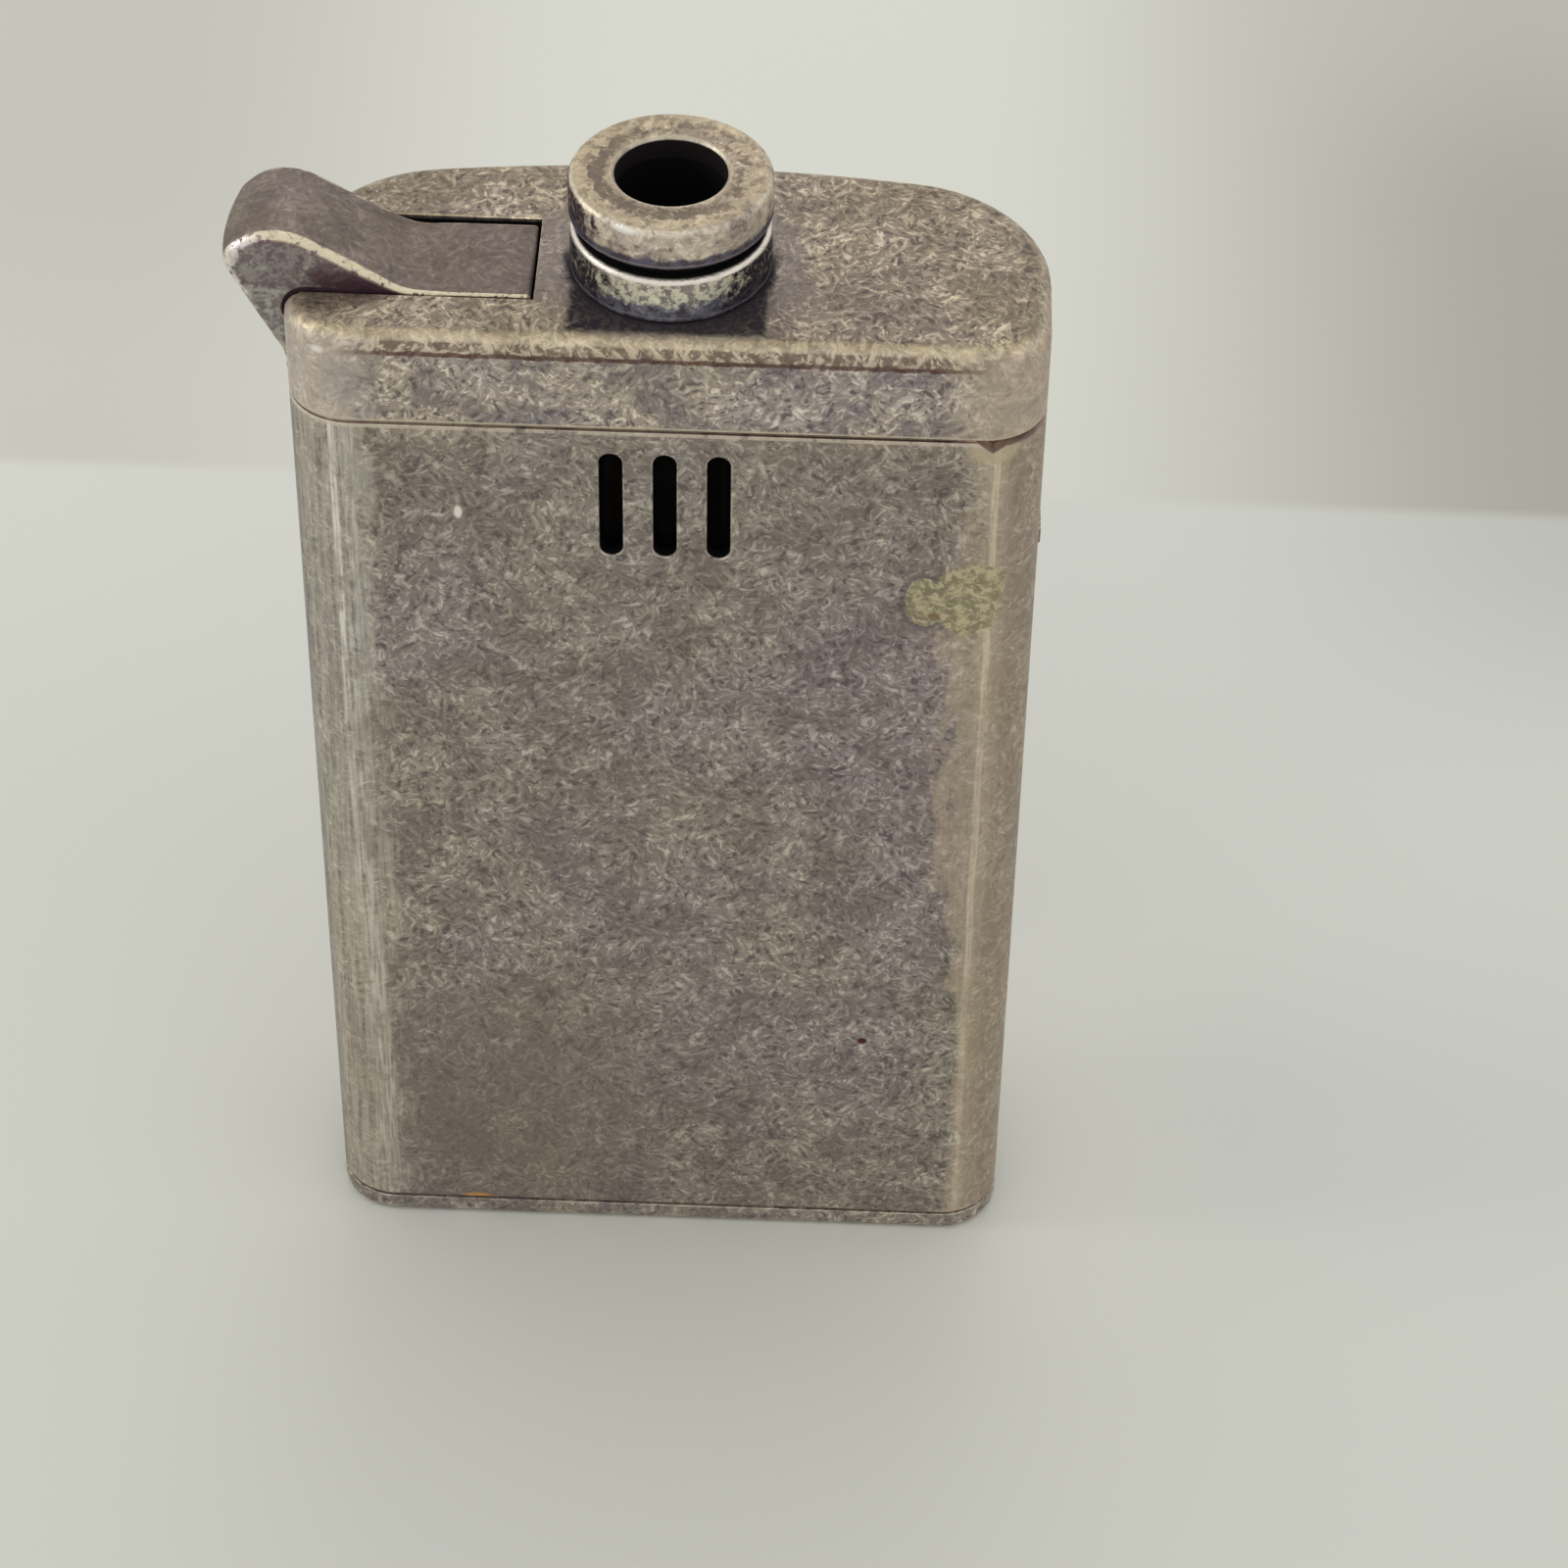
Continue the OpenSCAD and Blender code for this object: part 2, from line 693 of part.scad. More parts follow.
module gas_fork() {
  half_fork = tine_gap / 2 + tine_w;
  plate_z0 = fork_top_z - fork_t;
  color(brass)
    difference() {
      union() {
        block(toe_x - 0.8, tine_end_x, axis_y - half_fork, axis_y + half_fork, plate_z0, fork_top_z);
        block(toe_x - 0.8, toe_x + 2, axis_y - 1.5, axis_y + 1.5, plate_z0, pad_top_z);
        crossbar(fork_x, fork_z, fork_pin_r + 0.5, axis_y - half_fork, axis_y + half_fork);
      }
      block(-stem_r - 0.5, past, axis_y - tine_gap / 2, axis_y + tine_gap / 2, plate_z0 - past, pad_top_z);
      crossbar(fork_x, fork_z, fork_pin_r + turn_fit, lever_y0 - past, lever_y1 + past);
    }
}

module ear(y0) {
  foot_x0 = pivot_x - ear_r - 0.7;
  foot_x1 = fork_x + 1.5;
  across(y0, y0 + ear_t) {
    polygon([
      [foot_x0, deck_top_z - touch], [foot_x1, deck_top_z - touch], [foot_x1, fork_z + 1.5],
      [pivot_x + ear_r, pivot_z], [pivot_x - ear_r, pivot_z], [foot_x0, fork_z + 1.5]]);
    translate([pivot_x, pivot_z])
      circle(r = ear_r);
  }
}

module inner_frame() {
  color(steel)
    difference() {
      union() {
        slab(inner_inset, deck_z, deck_top_z);
        ear(ear_in_y0 - ear_t);
        ear(ear_in_y1);
        block(-1.4, 1.4, holder_y - 1.2, holder_y, deck_top_z - touch, holder_z + holder_h);
        block(-1.4, 1.4, insulator_y, holder_y, holder_z, holder_z + holder_h);
        post([0, insulator_y], insulator_r + 0.6, holder_z, holder_z + holder_h);
      }
      block(piezo_x - piezo_w / 2 - slide_fit, piezo_x + piezo_w / 2 + slide_fit,
        axis_y - piezo_d / 2 - slide_fit, axis_y + piezo_d / 2 + slide_fit, deck_z - past, deck_top_z + past);
      block(lead_x - 1.5 * lead_r, lead_x + 1.5 * lead_r, axis_y, insulator_y + 1.5 * lead_r,
        deck_z - past, deck_top_z + past);
      post([0, axis_y], valve_r + seat_fit, deck_z - past, deck_top_z + past);
      post([0, insulator_y], insulator_r + seat_fit, deck_top_z, holder_z + holder_h + past);
      for (at = cover_screws_at)
        post(at, screw_r + slide_fit, deck_z - past, deck_top_z + past);
      crossbar(pivot_x, pivot_z, lever_pin_r + seat_fit, ear_in_y0 - ear_t - past, ear_in_y1 + ear_t + past);
      crossbar(fork_x, fork_z, fork_pin_r + seat_fit, ear_in_y0 - ear_t - past, ear_in_y1 + ear_t + past);
    }
}

module cover_screws() {
  color(steel)
    for (at = cover_screws_at)
      pan_screw(at, deck_z, screw_depth - 0.2);
}

module base_screws() {
  color(steel)
    for (at = base_screws_at)
      flush_screw(at, touch, floor_z - 1.2);
}

module gas_tank() {
  color(smoke_plastic)
    difference() {
      union() {
        slab(inner_inset, tank_z, tank_top_z);
        slab(foot_inset, base_h, tank_z + touch);
      }
      difference() {
        slab(inner_inset + tank_wall, floor_z, tank_top_z + past);
        block(-half_w, pocket_x + tank_wall, -body_d, body_d, piezo_z - tank_wall, tank_top_z + 2 * past);
      }
      block(-half_w - past, pocket_x, -body_d, body_d, piezo_z, tank_top_z + past);
      post([fill_x, axis_y], fill_r + seat_fit, base_h - past, floor_z + past);
      for (at = base_screws_at)
        post(at, base_shank_r + seat_fit, base_h - past, floor_z - 1);
    }
}

module tank_lid() {
  color(smoke_plastic)
    difference() {
      slab(inner_inset, tank_top_z, deck_z);
      block(-half_w - past, pocket_x, -body_d, body_d, tank_top_z - past, deck_z + past);
      post([0, axis_y], valve_r + seat_fit, tank_top_z - past, deck_z + past);
      for (at = cover_screws_at)
        post(at, screw_head_r + 0.15, deck_z - screw_head_h - 0.15, deck_z + past);
    }
}

module gas_feed_tube() {
  color(brass)
    turned([0, axis_y], [
      [tube_r - 0.4, feed_z], [tube_r, feed_z],
      [tube_r, valve_z + tube_seat], [tube_r - 0.4, valve_z + tube_seat]]);
}

module valve_body() {
  color(brass)
    turned([0, axis_y], [
      [tube_r + seat_fit, valve_z], [valve_r, valve_z], [valve_r, valve_top_z],
      [stem_r + turn_fit, valve_top_z], [stem_r + turn_fit, valve_roof_z],
      [valve_chamber_r, valve_roof_z], [valve_chamber_r, valve_floor_z], [0.35, valve_floor_z],
      [0.35, valve_z + tube_seat], [tube_r + seat_fit, valve_z + tube_seat]]);
}

module valve_stem() {
  color(brass)
    turned([0, axis_y], [
      [0, foot_z], [valve_chamber_r - 0.2, foot_z], [valve_chamber_r - 0.2, foot_z + foot_t],
      [stem_r, foot_z + foot_t], [stem_r, flange_z], [flange_r, flange_z], [flange_r, nozzle_z],
      [stem_r, nozzle_z], [stem_r, stem_top_z], [0.3, stem_top_z], [0.3, foot_z + foot_t],
      [0, foot_z + foot_t]]);
}

module valve_seal() {
  color(rubber_black)
    post([0, axis_y], valve_chamber_r - 0.45, foot_z - seal_t, foot_z);
}

module valve_spring() {
  color(steel)
    coil([0, axis_y], stem_r + 0.37, 0.15, foot_z + foot_t + touch, valve_roof_z - touch, 6);
}

module burner_nozzle() {
  bore_r = stem_r + seat_fit;
  tip_z = nozzle_z + nozzle_h;
  color(brass)
    turned([0, axis_y], [
      [bore_r, nozzle_z], [nozzle_r, nozzle_z], [nozzle_r, tip_z - 0.5], [nozzle_r - 0.5, tip_z],
      [0.35, tip_z], [0.35, stem_top_z + touch], [bore_r, stem_top_z + touch]]);
}

module piezo_housing() {
  guide_w = plunger_w / 2 + slide_fit;
  guide_d = plunger_d / 2 + slide_fit;
  at = [piezo_x, axis_y];
  color(black_plastic)
    difference() {
      block(piezo_x - piezo_w / 2, piezo_x + piezo_w / 2, axis_y - piezo_d / 2, axis_y + piezo_d / 2,
        piezo_z, piezo_top_z);
      block(piezo_x - guide_w, piezo_x + guide_w, axis_y - guide_d, axis_y + guide_d,
        guide_z, piezo_top_z + past);
      post(at, hammer_r + 0.15, crystal_z, guide_z + past);
    }
}

module piezo_plunger() {
  color(white_ceramic)
    difference() {
      block(piezo_x - plunger_w / 2, piezo_x + plunger_w / 2, axis_y - plunger_d / 2,
        axis_y + plunger_d / 2, plunger_z, plunger_top_z);
      post([piezo_x, axis_y], spring_bore_r, plunger_z - past, spring_roof_z);
    }
}

module piezo_return_spring() {
  color(steel)
    coil([piezo_x, axis_y], spring_bore_r + 0.35, 0.2, guide_z + touch, plunger_z - touch, 4);
}

module impact_spring() {
  color(steel)
    coil([piezo_x, axis_y], 0.9, 0.2, hammer_z + hammer_h + touch, spring_roof_z - touch, 16);
}

module piezo_hammer() {
  color(steel)
    post([piezo_x, axis_y], hammer_r, hammer_z, hammer_z + hammer_h);
}

module piezo_anvil() {
  color(brass)
    post([piezo_x, axis_y], hammer_r, anvil_z, anvil_z + anvil_h);
}

module piezo_crystal() {
  color(white_ceramic)
    post([piezo_x, axis_y], hammer_r, crystal_z, anvil_z);
}

module spark_electrode() {
  color(steel)
    wire([
      [0, insulator_y, insulator_z + 2], [0, insulator_y, electrode_z],
      [0, axis_y + nozzle_r - 0.4, electrode_z]], electrode_r);
}

module electrode_insulator() {
  at = [0, insulator_y];
  color(white_ceramic)
    difference() {
      post(at, insulator_r, insulator_z, insulator_z + insulator_h);
      post(at, lead_r + seat_fit, insulator_z - past, insulator_z + 2);
      post(at, electrode_r + seat_fit, insulator_z, insulator_z + insulator_h + past);
    }
}

module electrode_lead() {
  color(lead_red)
    wire([
      [lead_x, axis_y + piezo_d / 2, crystal_z], [lead_x, insulator_y, crystal_z],
      [lead_x, insulator_y, lead_z], [0, insulator_y, lead_z],
      [0, insulator_y, insulator_z + 2]], lead_r);
}

module fill_valve_body() {
  mouth_r = fill_stem_r + turn_fit;
  color(brass)
    turned([fill_x, axis_y], [
      [mouth_r, fill_recess], [fill_flange_r, fill_recess], [fill_flange_r, base_h], [fill_r, base_h],
      [fill_r, fill_top_z], [0.5, fill_top_z], [0.5, fill_top_z - 0.8],
      [fill_chamber_r, fill_top_z - 0.8], [fill_chamber_r, fill_chamber_z], [mouth_r, fill_chamber_z]]);
}

module fill_valve_stem() {
  color(brass)
    turned([fill_x, axis_y], [
      [0.3, 0.3], [fill_stem_r, 0.3], [fill_stem_r, fill_collar_z], [fill_collar_r, fill_collar_z],
      [fill_collar_r, fill_collar_z + 0.6], [0, fill_collar_z + 0.6], [0, fill_collar_z - 0.6],
      [0.3, fill_collar_z - 0.6]]);
}

module fill_valve_seal() {
  color(rubber_black)
    turned([fill_x, axis_y], [
      [fill_stem_r + seat_fit, fill_collar_z - seal_t], [fill_collar_r, fill_collar_z - seal_t],
      [fill_collar_r, fill_collar_z], [fill_stem_r + seat_fit, fill_collar_z]]);
}

module fill_valve_spring() {
  color(steel)
    coil([fill_x, axis_y], 0.9, 0.15, fill_collar_z + 0.6 + touch, fill_top_z - 0.8 - touch, 4);
}

module flame_adjust_lever() {
  color(dark_silver)
    difference() {
      union() {
        post([0, axis_y], adjust_ring_r, adjust_z, adjust_z + adjust_t);
        block(valve_r + 0.6, tip_x, axis_y - adjust_w / 2, axis_y + adjust_w / 2,
          adjust_z, adjust_z + adjust_t);
      }
      post([0, axis_y], valve_r + turn_fit, adjust_z - past, adjust_z + adjust_t + past);
      for (i = [-1:1])
        post([tip_x + 0.06, axis_y + 0.55 * i], 0.16, adjust_z - past, adjust_z + adjust_t + past);
    }
}

module valve_nut() {
  color(brass)
    difference() {
      union() {
        translate([0, axis_y, deck_top_z])
          cylinder(r = valve_r + 1.05, h = nut_h, $fn = 6);
        post([0, axis_y], valve_r + 0.55, deck_top_z, adjust_z - touch);
      }
      post([0, axis_y], valve_r + seat_fit, deck_top_z - past, adjust_z + past);
    }
}

module adjuster_cap() {
  notch_at = valve_r + 0.7;
  color(brass)
    difference() {
      post([0, axis_y], valve_r + 0.6, cap_z, cap_z + cap_h);
      post([0, axis_y], valve_r + seat_fit, cap_z - past, cap_z + cap_h + past);
      for (a = [0:45:315])
        post([notch_at * cos(a), axis_y + notch_at * sin(a)], 0.3, cap_z - past, cap_z + cap_h + past);
    }
}

case_shell();
top_cover();
base_plate();
neck_collar();
neck_ring();
wind_guard();
thumb_lever();
lever_pin();
gas_fork();
fork_pin();
inner_frame();
cover_screws();
base_screws();
gas_tank();
tank_lid();
gas_feed_tube();
valve_body();
valve_stem();
valve_spring();
valve_seal();
burner_nozzle();
piezo_housing();
piezo_plunger();
piezo_return_spring();
impact_spring();
piezo_hammer();
piezo_anvil();
piezo_crystal();
spark_electrode();
electrode_insulator();
electrode_lead();
fill_valve_body();
fill_valve_stem();
fill_valve_spring();
fill_valve_seal();
flame_adjust_lever();
valve_nut();
adjuster_cap();
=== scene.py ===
"""Looks of a flask-shaped gas lighter: aged silver case, thumb lever, neck and inner works.

Laid out as a Blender add-on and run as a script. Lengths are millimetres in the frame of the CAD
model, in mesh code and in materials alike. Every finished mesh and the stage are in metres.
"""

import json
import math
from collections import namedtuple
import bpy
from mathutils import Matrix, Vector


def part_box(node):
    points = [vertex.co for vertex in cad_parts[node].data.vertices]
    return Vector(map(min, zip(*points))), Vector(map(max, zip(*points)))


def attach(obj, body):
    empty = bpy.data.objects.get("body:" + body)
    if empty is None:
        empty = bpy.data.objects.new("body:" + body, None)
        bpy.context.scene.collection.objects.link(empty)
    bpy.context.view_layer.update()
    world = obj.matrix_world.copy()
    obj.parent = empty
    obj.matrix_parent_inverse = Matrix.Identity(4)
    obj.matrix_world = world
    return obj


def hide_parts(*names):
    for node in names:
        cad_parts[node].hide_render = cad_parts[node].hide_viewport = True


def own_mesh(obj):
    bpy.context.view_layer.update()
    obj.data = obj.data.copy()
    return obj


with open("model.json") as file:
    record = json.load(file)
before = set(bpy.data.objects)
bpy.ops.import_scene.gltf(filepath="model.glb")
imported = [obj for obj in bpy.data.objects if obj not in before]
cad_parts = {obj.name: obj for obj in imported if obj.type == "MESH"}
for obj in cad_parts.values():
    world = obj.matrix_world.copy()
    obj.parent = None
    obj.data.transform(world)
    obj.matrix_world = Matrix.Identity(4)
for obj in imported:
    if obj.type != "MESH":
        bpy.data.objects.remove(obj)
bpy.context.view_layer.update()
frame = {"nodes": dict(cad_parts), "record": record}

from types import SimpleNamespace

import bmesh
import bpy
from mathutils import Matrix, Vector

bl_info = {
    "name": "Flask-shaped gas lighter",
    "version": (1, 0, 0),
    "blender": (4, 5, 0),
    "location": "3D View > Sidebar > Lighter",
    "description": "Builds the lighter's aged silver case, thumb lever, neck and inner works",
    "category": "Add Mesh",
}

MM = 0.001
BODIES = frame["record"]["behaviour"]["bodies"]
BODY_OF = {node: body for body, nodes in BODIES.items() for node in nodes}

# how near, in metres, two corners are one, and how flat, in radians, two faces are one
MERGE_DISTANCE = 2e-6
FLAT_ANGLE = math.radians(0.5)
# from which angle an edge is rounded, and up to which it is shaded smooth
SHARP_ANGLE = math.radians(30)
SMOOTH_ANGLE = math.radians(40)
# how near a point counts as lying on a face, on the case's outer wall or on an axis
ON_FACE, ON_WALL, ON_AXIS = 0.01, 0.05, 1e-6
SCREW_STEPS, SCREW_EDGE, SCREW_SHARP = 64, 0.04, math.radians(50)

# shares of a piece's edge width
HIDDEN = 0.0
FULL = 1.0
SLOT_SIDE = 0.7


def span(node):
    """Lowest and highest corner of a CAD node at rest, in millimetres."""
    low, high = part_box(node)
    return low / MM, high / MM


CASE_LOW, CASE_HIGH = span("case_shell")
RING_LOW, RING_HIGH = span("neck_ring")
LEVER_LOW, LEVER_HIGH = span("thumb_lever")
AXIS = Vector(((RING_LOW.x + RING_HIGH.x) / 2, (RING_LOW.y + RING_HIGH.y) / 2, 0))
FRONT_Y = CASE_LOW.y
SEAM_Z = CASE_HIGH.z
TOP_Z = span("top_cover")[1].z

# the case's outline: half its width, its front corners, and its rear corners and arch
HALF_W = (CASE_HIGH.x - CASE_LOW.x) / 2
FRONT_R = 3.4
CORNER_X = HALF_W - FRONT_R
REAR_R, REAR_X, REAR_Y = 8.2, 11.8, -0.856
ARCH_Y = 7

# the lever's slot, the air vents and the flame opening
SLOT_LOW_Y, SLOT_HIGH_Y = LEVER_LOW.y - 0.12, LEVER_HIGH.y + 0.63
SLOT_END_X = -0.35 * HALF_W
VENTS_HALF, VENTS_LOW, VENTS_HIGH = 4.2, 52.8, 60.8
FLAME_R = 2.95

# near black: soot by the flame, and painted shade in openings, slots and recesses
SOOT_AND_SHADE = (0.005, 0.004, 0.004)
GREY = (0.5, 0.5, 0.5)

# the camera, fitted to the photograph's outline
CAMERA_PLACE = (10.3742, -197.2154, 214.6738)
CAMERA_YAW, CAMERA_DOWN, CAMERA_ROLL = -0.0199, 0.7546, 0.0204
CAMERA_LENS, CAMERA_SENSOR, CAMERA_CLIP = 106.73, 36, (0.01, 20)
# in metres: the point that the lamps face, and half the floor's side and how far it lies below
LIT_POINT = Vector((0, 0, 0.035))
FLOOR_HALF, FLOOR_STEPS, FLOOR_DROP = 1.6, 24, 0.02 * MM


# ---- sizes and colours that a user would change ----


def length(name, description, default, low, high):
    return bpy.props.FloatProperty(
        name=name, description=description, default=default * MM, min=low * MM, max=high * MM,
        unit="LENGTH", precision=5)


def count(name, description, default, low, high):
    return bpy.props.IntProperty(
        name=name, description=description, default=default, min=low, max=high)


def colour(name, description, default):
    return bpy.props.FloatVectorProperty(
        name=name, description=description, default=default, subtype="COLOR", min=0, max=1)


def power(name, description, default):
    return bpy.props.FloatProperty(
        name=name, description=description, default=default, min=0, max=5, unit="POWER")


class LighterSizes(bpy.types.PropertyGroup):
    seam_edge: length("Seam edge", "Rounding of the edges along both seams", 0.06, 0.03, 0.1)
    opening_edge: length(
        "Opening edge", "Rounding of the edges of the vents and the slot", 0.1, 0.1, 0.15)
    nose_front: length(
        "Nose front", "How far the front end of the nose's tip is worn back", 0.28, 0.0, 0.4)
    nose_back: length(
        "Nose back", "How far the back end of the nose's tip is worn back", 0.5, 0.0, 0.6)
    nose_edge: length(
        "Nose edge", "Worn rounding of the thumb lever where it rises", 0.5, 0.2, 0.6)
    flush_edge: length(
        "Flush edge", "Worn rounding of the thumb lever's flush stretch", 0.18, 0.05, 0.19)
    turned_steps: count("Turned steps", "Steps round the turned parts", 128, 48, 256)
    coil_steps: count("Coil steps", "Steps in each turn of a coil spring", 32, 12, 64)
    coil_sides: count("Coil sides", "Sides of the springs' wire", 10, 6, 24)


class LighterColours(bpy.types.PropertyGroup):
    patina_dark: colour(
        "Dark patina", "Darkest tarnish of the aged silver", (0.252, 0.217, 0.190))
    patina_mid: colour(
        "Middle patina", "Middle tarnish of the aged silver", (0.338, 0.297, 0.262))
    patina_gap: colour(
        "Patina gaps", "Tarnish left in the gaps between flecks", (0.150, 0.127, 0.122))
    fleck_dull: colour("Dull flecks", "Light strokes over the tarnish", (0.435, 0.395, 0.340))
    fleck_light: colour("Bright flecks", "Brightest strokes over the tarnish", (0.68, 0.63, 0.54))
    worn_edge: colour("Worn edge", "Rubbed silver on edges and corners", (0.66, 0.585, 0.435))
    grime: colour("Grime", "Reddish brown grime in seams and slots", (0.15, 0.085, 0.065))
    stain: colour("Stain", "Dull olive stain on the front", (0.57, 0.51, 0.325))
    steel: colour("Steel", "Plain steel of pins, frame and springs", (0.56, 0.57, 0.58))
    brass: colour("Brass", "Brass of the valves and the burner", (0.66, 0.47, 0.21))


class LighterStage(bpy.types.PropertyGroup):
    floor: colour("Floor", "Pale floor", (0.63, 0.635, 0.585))
    wall: colour("Wall tone", "Warmer tone of the floor behind the fold", (0.68, 0.685, 0.62))
    sky: bpy.props.FloatProperty(
        name="Sky", description="Strength of the even light from all round", default=0.86, min=0,
        max=2)
    window: power("Window", "Power of the soft lamp at the left", 0.36)
    ceiling: power("Ceiling", "Power of the soft lamp behind and above", 0.3)


# ---- node trees, written as sums ----


Parts = namedtuple("Parts", "x y z")


class Value:
    """An output of a node tree. The signs and calls used on it add the nodes that they stand for.

    The other side of a sign may be a Value, a number, or a tuple for a colour or a place.
    """

    def __init__(self, socket):
        self.socket = socket
        self.tree = socket.id_data
        self.is_vector = socket.type in ("VECTOR", "RGBA")

    def __add__(self, other):
        return calculate("ADD", self, other)

    def __radd__(self, other):
        return calculate("ADD", other, self)

    def __sub__(self, other):
        return calculate("SUBTRACT", self, other)

    def __rsub__(self, other):
        return calculate("SUBTRACT", other, self)

    def __mul__(self, other):
        if self.is_vector and isinstance(other, float):
            return self.node("ShaderNodeVectorMath", self, None, None, other, operation="SCALE")
        return calculate("MULTIPLY", self, other)

    def __truediv__(self, other):
        return calculate("DIVIDE", self, other)

    def __rtruediv__(self, other):
        return calculate("DIVIDE", other, self)

    def __abs__(self):
        return calculate("ABSOLUTE", self)

    def node(self, kind, *values, out=0, **settings):
        return Value(add_node(self.tree, kind, *values, **settings).outputs[out])

    def through(self, kind, **values):
        """Sent through a node by its first input, with the node's other inputs given by name."""
        node = add_node(self.tree, kind, self)
        for key, value in values.items():
            feed(node.inputs[key.replace("_", " ")], value)
        return Value(node.outputs[0])

    def length(self):
        return calculate("LENGTH", self)

    def parts(self):
        return Parts(*map(Value, add_node(self.tree, "ShaderNodeSeparateXYZ", self).outputs))

    def most(self, *others):
        """The greatest of this value and the others."""
        most = self
        for other in others:
            most = calculate("MAXIMUM", most, other)
        return most

    def step(self, low, high):
        """0 at low and 1 at high, with a soft turn between them."""
        return self.node(
            "ShaderNodeMapRange", self, low, high, 0.0, 1.0, interpolation_type="SMOOTHSTEP")

    def between(self, low, high, soft):
        """1 between low and high, falling to 0 over a soft margin outside them."""
        return self.step(low - soft, low) * self.step(high + soft, high)

    def noise(self, scale, detail=2.0, roughness=0.5, coloured=False):
        return self.node(
            "ShaderNodeTexNoise", self, None, scale, detail, roughness, out=int(coloured))

    def spot(self, centre, radii, soft, wobble=None):
        """1 inside an ellipsoid about centre and 0 outside, with a soft rim that wobble bends."""
        reach = ((self - centre) / radii).length()
        if wobble is not None:
            reach = reach + wobble
        return reach.step(1.0 + soft, 1.0 - soft)


def feed(socket, value):
    """Links a Value to the socket, or writes a plain value on it."""
    if isinstance(value, Value):
        value.tree.links.new(value.socket, socket)
    elif value is not None:
        socket.default_value = value


def add_node(tree, kind, *values, **settings):
    """A new node with these settings, its inputs filled in their order and left alone at None."""
    node = tree.nodes.new(kind)
    for key, value in settings.items():
        setattr(node, key, value)
    for socket, value in zip(node.inputs, values):
        feed(socket, value)
    return node


def tree_of(*values):
    return next(value.tree for value in values if isinstance(value, Value))


def calculate(operation, *values, **settings):
    """A math node, or a vector math node where any of the values has three parts."""
    kind, out = "ShaderNodeMath", 0
    if any(isinstance(value, tuple) or getattr(value, "is_vector", False) for value in values):
        kind, out = "ShaderNodeVectorMath", int(operation in ("DOT_PRODUCT", "LENGTH"))
    return Value(add_node(tree_of(*values), kind, *values, operation=operation, **settings)
                 .outputs[out])


def joined(x, y, z):
    """The vector with these three parts."""
    return Value(add_node(tree_of(x, y, z), "ShaderNodeCombineXYZ", x, y, z).outputs[0])


def blend(share, below, above):
    """The colour below where share is 0 and above where it is 1."""
    node = add_node(tree_of(share, below, above), "ShaderNodeMix", data_type="RGBA")
    sockets = {socket.identifier: socket for socket in (*node.inputs, *node.outputs)}
    feed(sockets["Factor_Float"], share)
    for key, tone in (("A_Color", below), ("B_Color", above)):
        feed(sockets[key], tone if isinstance(tone, Value) else (*tone, 1.0))
    return Value(sockets["Result_Color"])


def new_tree(kind, name, output, inputs):
    """A node tree with an output (name, kind) and inputs (name, kind, default), as Values."""
    tree = bpy.data.node_groups.new(name, kind)
    for label, socket_kind, *default in inputs:
        socket = tree.interface.new_socket(
            label, in_out="INPUT", socket_type="NodeSocket" + socket_kind)
        if default:
            socket.default_value = default[0]
    label, socket_kind = output
    tree.interface.new_socket(label, in_out="OUTPUT", socket_type="NodeSocket" + socket_kind)
    given = add_node(tree, "NodeGroupInput").outputs
    return tree, [Value(given[item[0]]) for item in inputs]


def toned(tone, level):
    return tuple(level * value for value in tone)


def lit(tone, level):
    """Made lighter by level, but no lighter than white."""
    return tuple(min(1, value) for value in toned(tone, level))


# ---- what the finishes share ----


def shader(name, metallic, **settings):
    """A material whose plain settings sit on its shader's own sockets, with its place in mm."""
    material = bpy.data.materials.new(name)
    material.use_nodes = True
    tree = material.node_tree
    for key, value in {"Metallic": metallic, **settings}.items():
        tree.nodes["Principled BSDF"].inputs[key.replace("_", " ")].default_value = value
    place = add_node(tree, "ShaderNodeTexCoord").outputs
    return material, Value(place["Object"]) * (1 / MM), Value(place["Normal"])


def finished(material, height, depth, **looks):
    """Feeds the shader's sockets and raises the surface by height times depth, in mm."""
    sockets = material.node_tree.nodes["Principled BSDF"].inputs
    looks["Normal"] = height.node("ShaderNodeBump", 1.0, depth * MM, None, height)
    for key, value in looks.items():
        feed(sockets[key.replace("_", " ")], value)
    return material


def stroke_group():
    """Broken strokes lying in the surface: a drawn-out noise, turned its own way in every cell."""
    tree, (point, normal, density, reach, width) = new_tree(
        "ShaderNodeTree", "broken_strokes", ("Value", "Float"),
        (("Point", "Vector"), ("Normal", "Vector"), ("Cells per mm", "Float"),
         ("Length", "Float"), ("Width", "Float")))
    cells = add_node(tree, "ShaderNodeTexVoronoi", point, None, density).outputs
    away = point - Value(cells["Position"])
    chance = Value(cells["Color"])
    along = calculate("NORMALIZE", calculate("CROSS_PRODUCT", normal, chance - GREY))
    across = calculate("CROSS_PRODUCT", normal, along)
    red, _, blue = chance.parts()
    run = calculate("DOT_PRODUCT", away, along)
    bend = (blue - 0.5) * 0.4 * run * run
    side = calculate("DOT_PRODUCT", away, across) + bend
    place = joined(run / reach, side / width, red * 50.0)
    add_node(tree, "NodeGroupOutput", place.noise(1.0, 1.0, 0.4))
    return tree


def strokes(point, normal, density, reach, width):
    """Strokes of this reach and width in mm, with so many cells to the mm."""
    return point.node("ShaderNodeGroup", point, normal, density, reach, width,
                      node_tree=bpy.data.node_groups["broken_strokes"])


def rounded_share(part):
    """How far a surface is turned between flat and upright: 1 on the middle of a rounded edge."""
    across = calculate("SQRT", calculate("SUBTRACT", 1.0, part * part, use_clamp=True))
    return abs(part) * across * 2.0


def axis_distance(point):
    """Distance from the neck's axis, in mm."""
    return ((point - (AXIS.x, AXIS.y, 0)) * (1, 1, 0)).length()


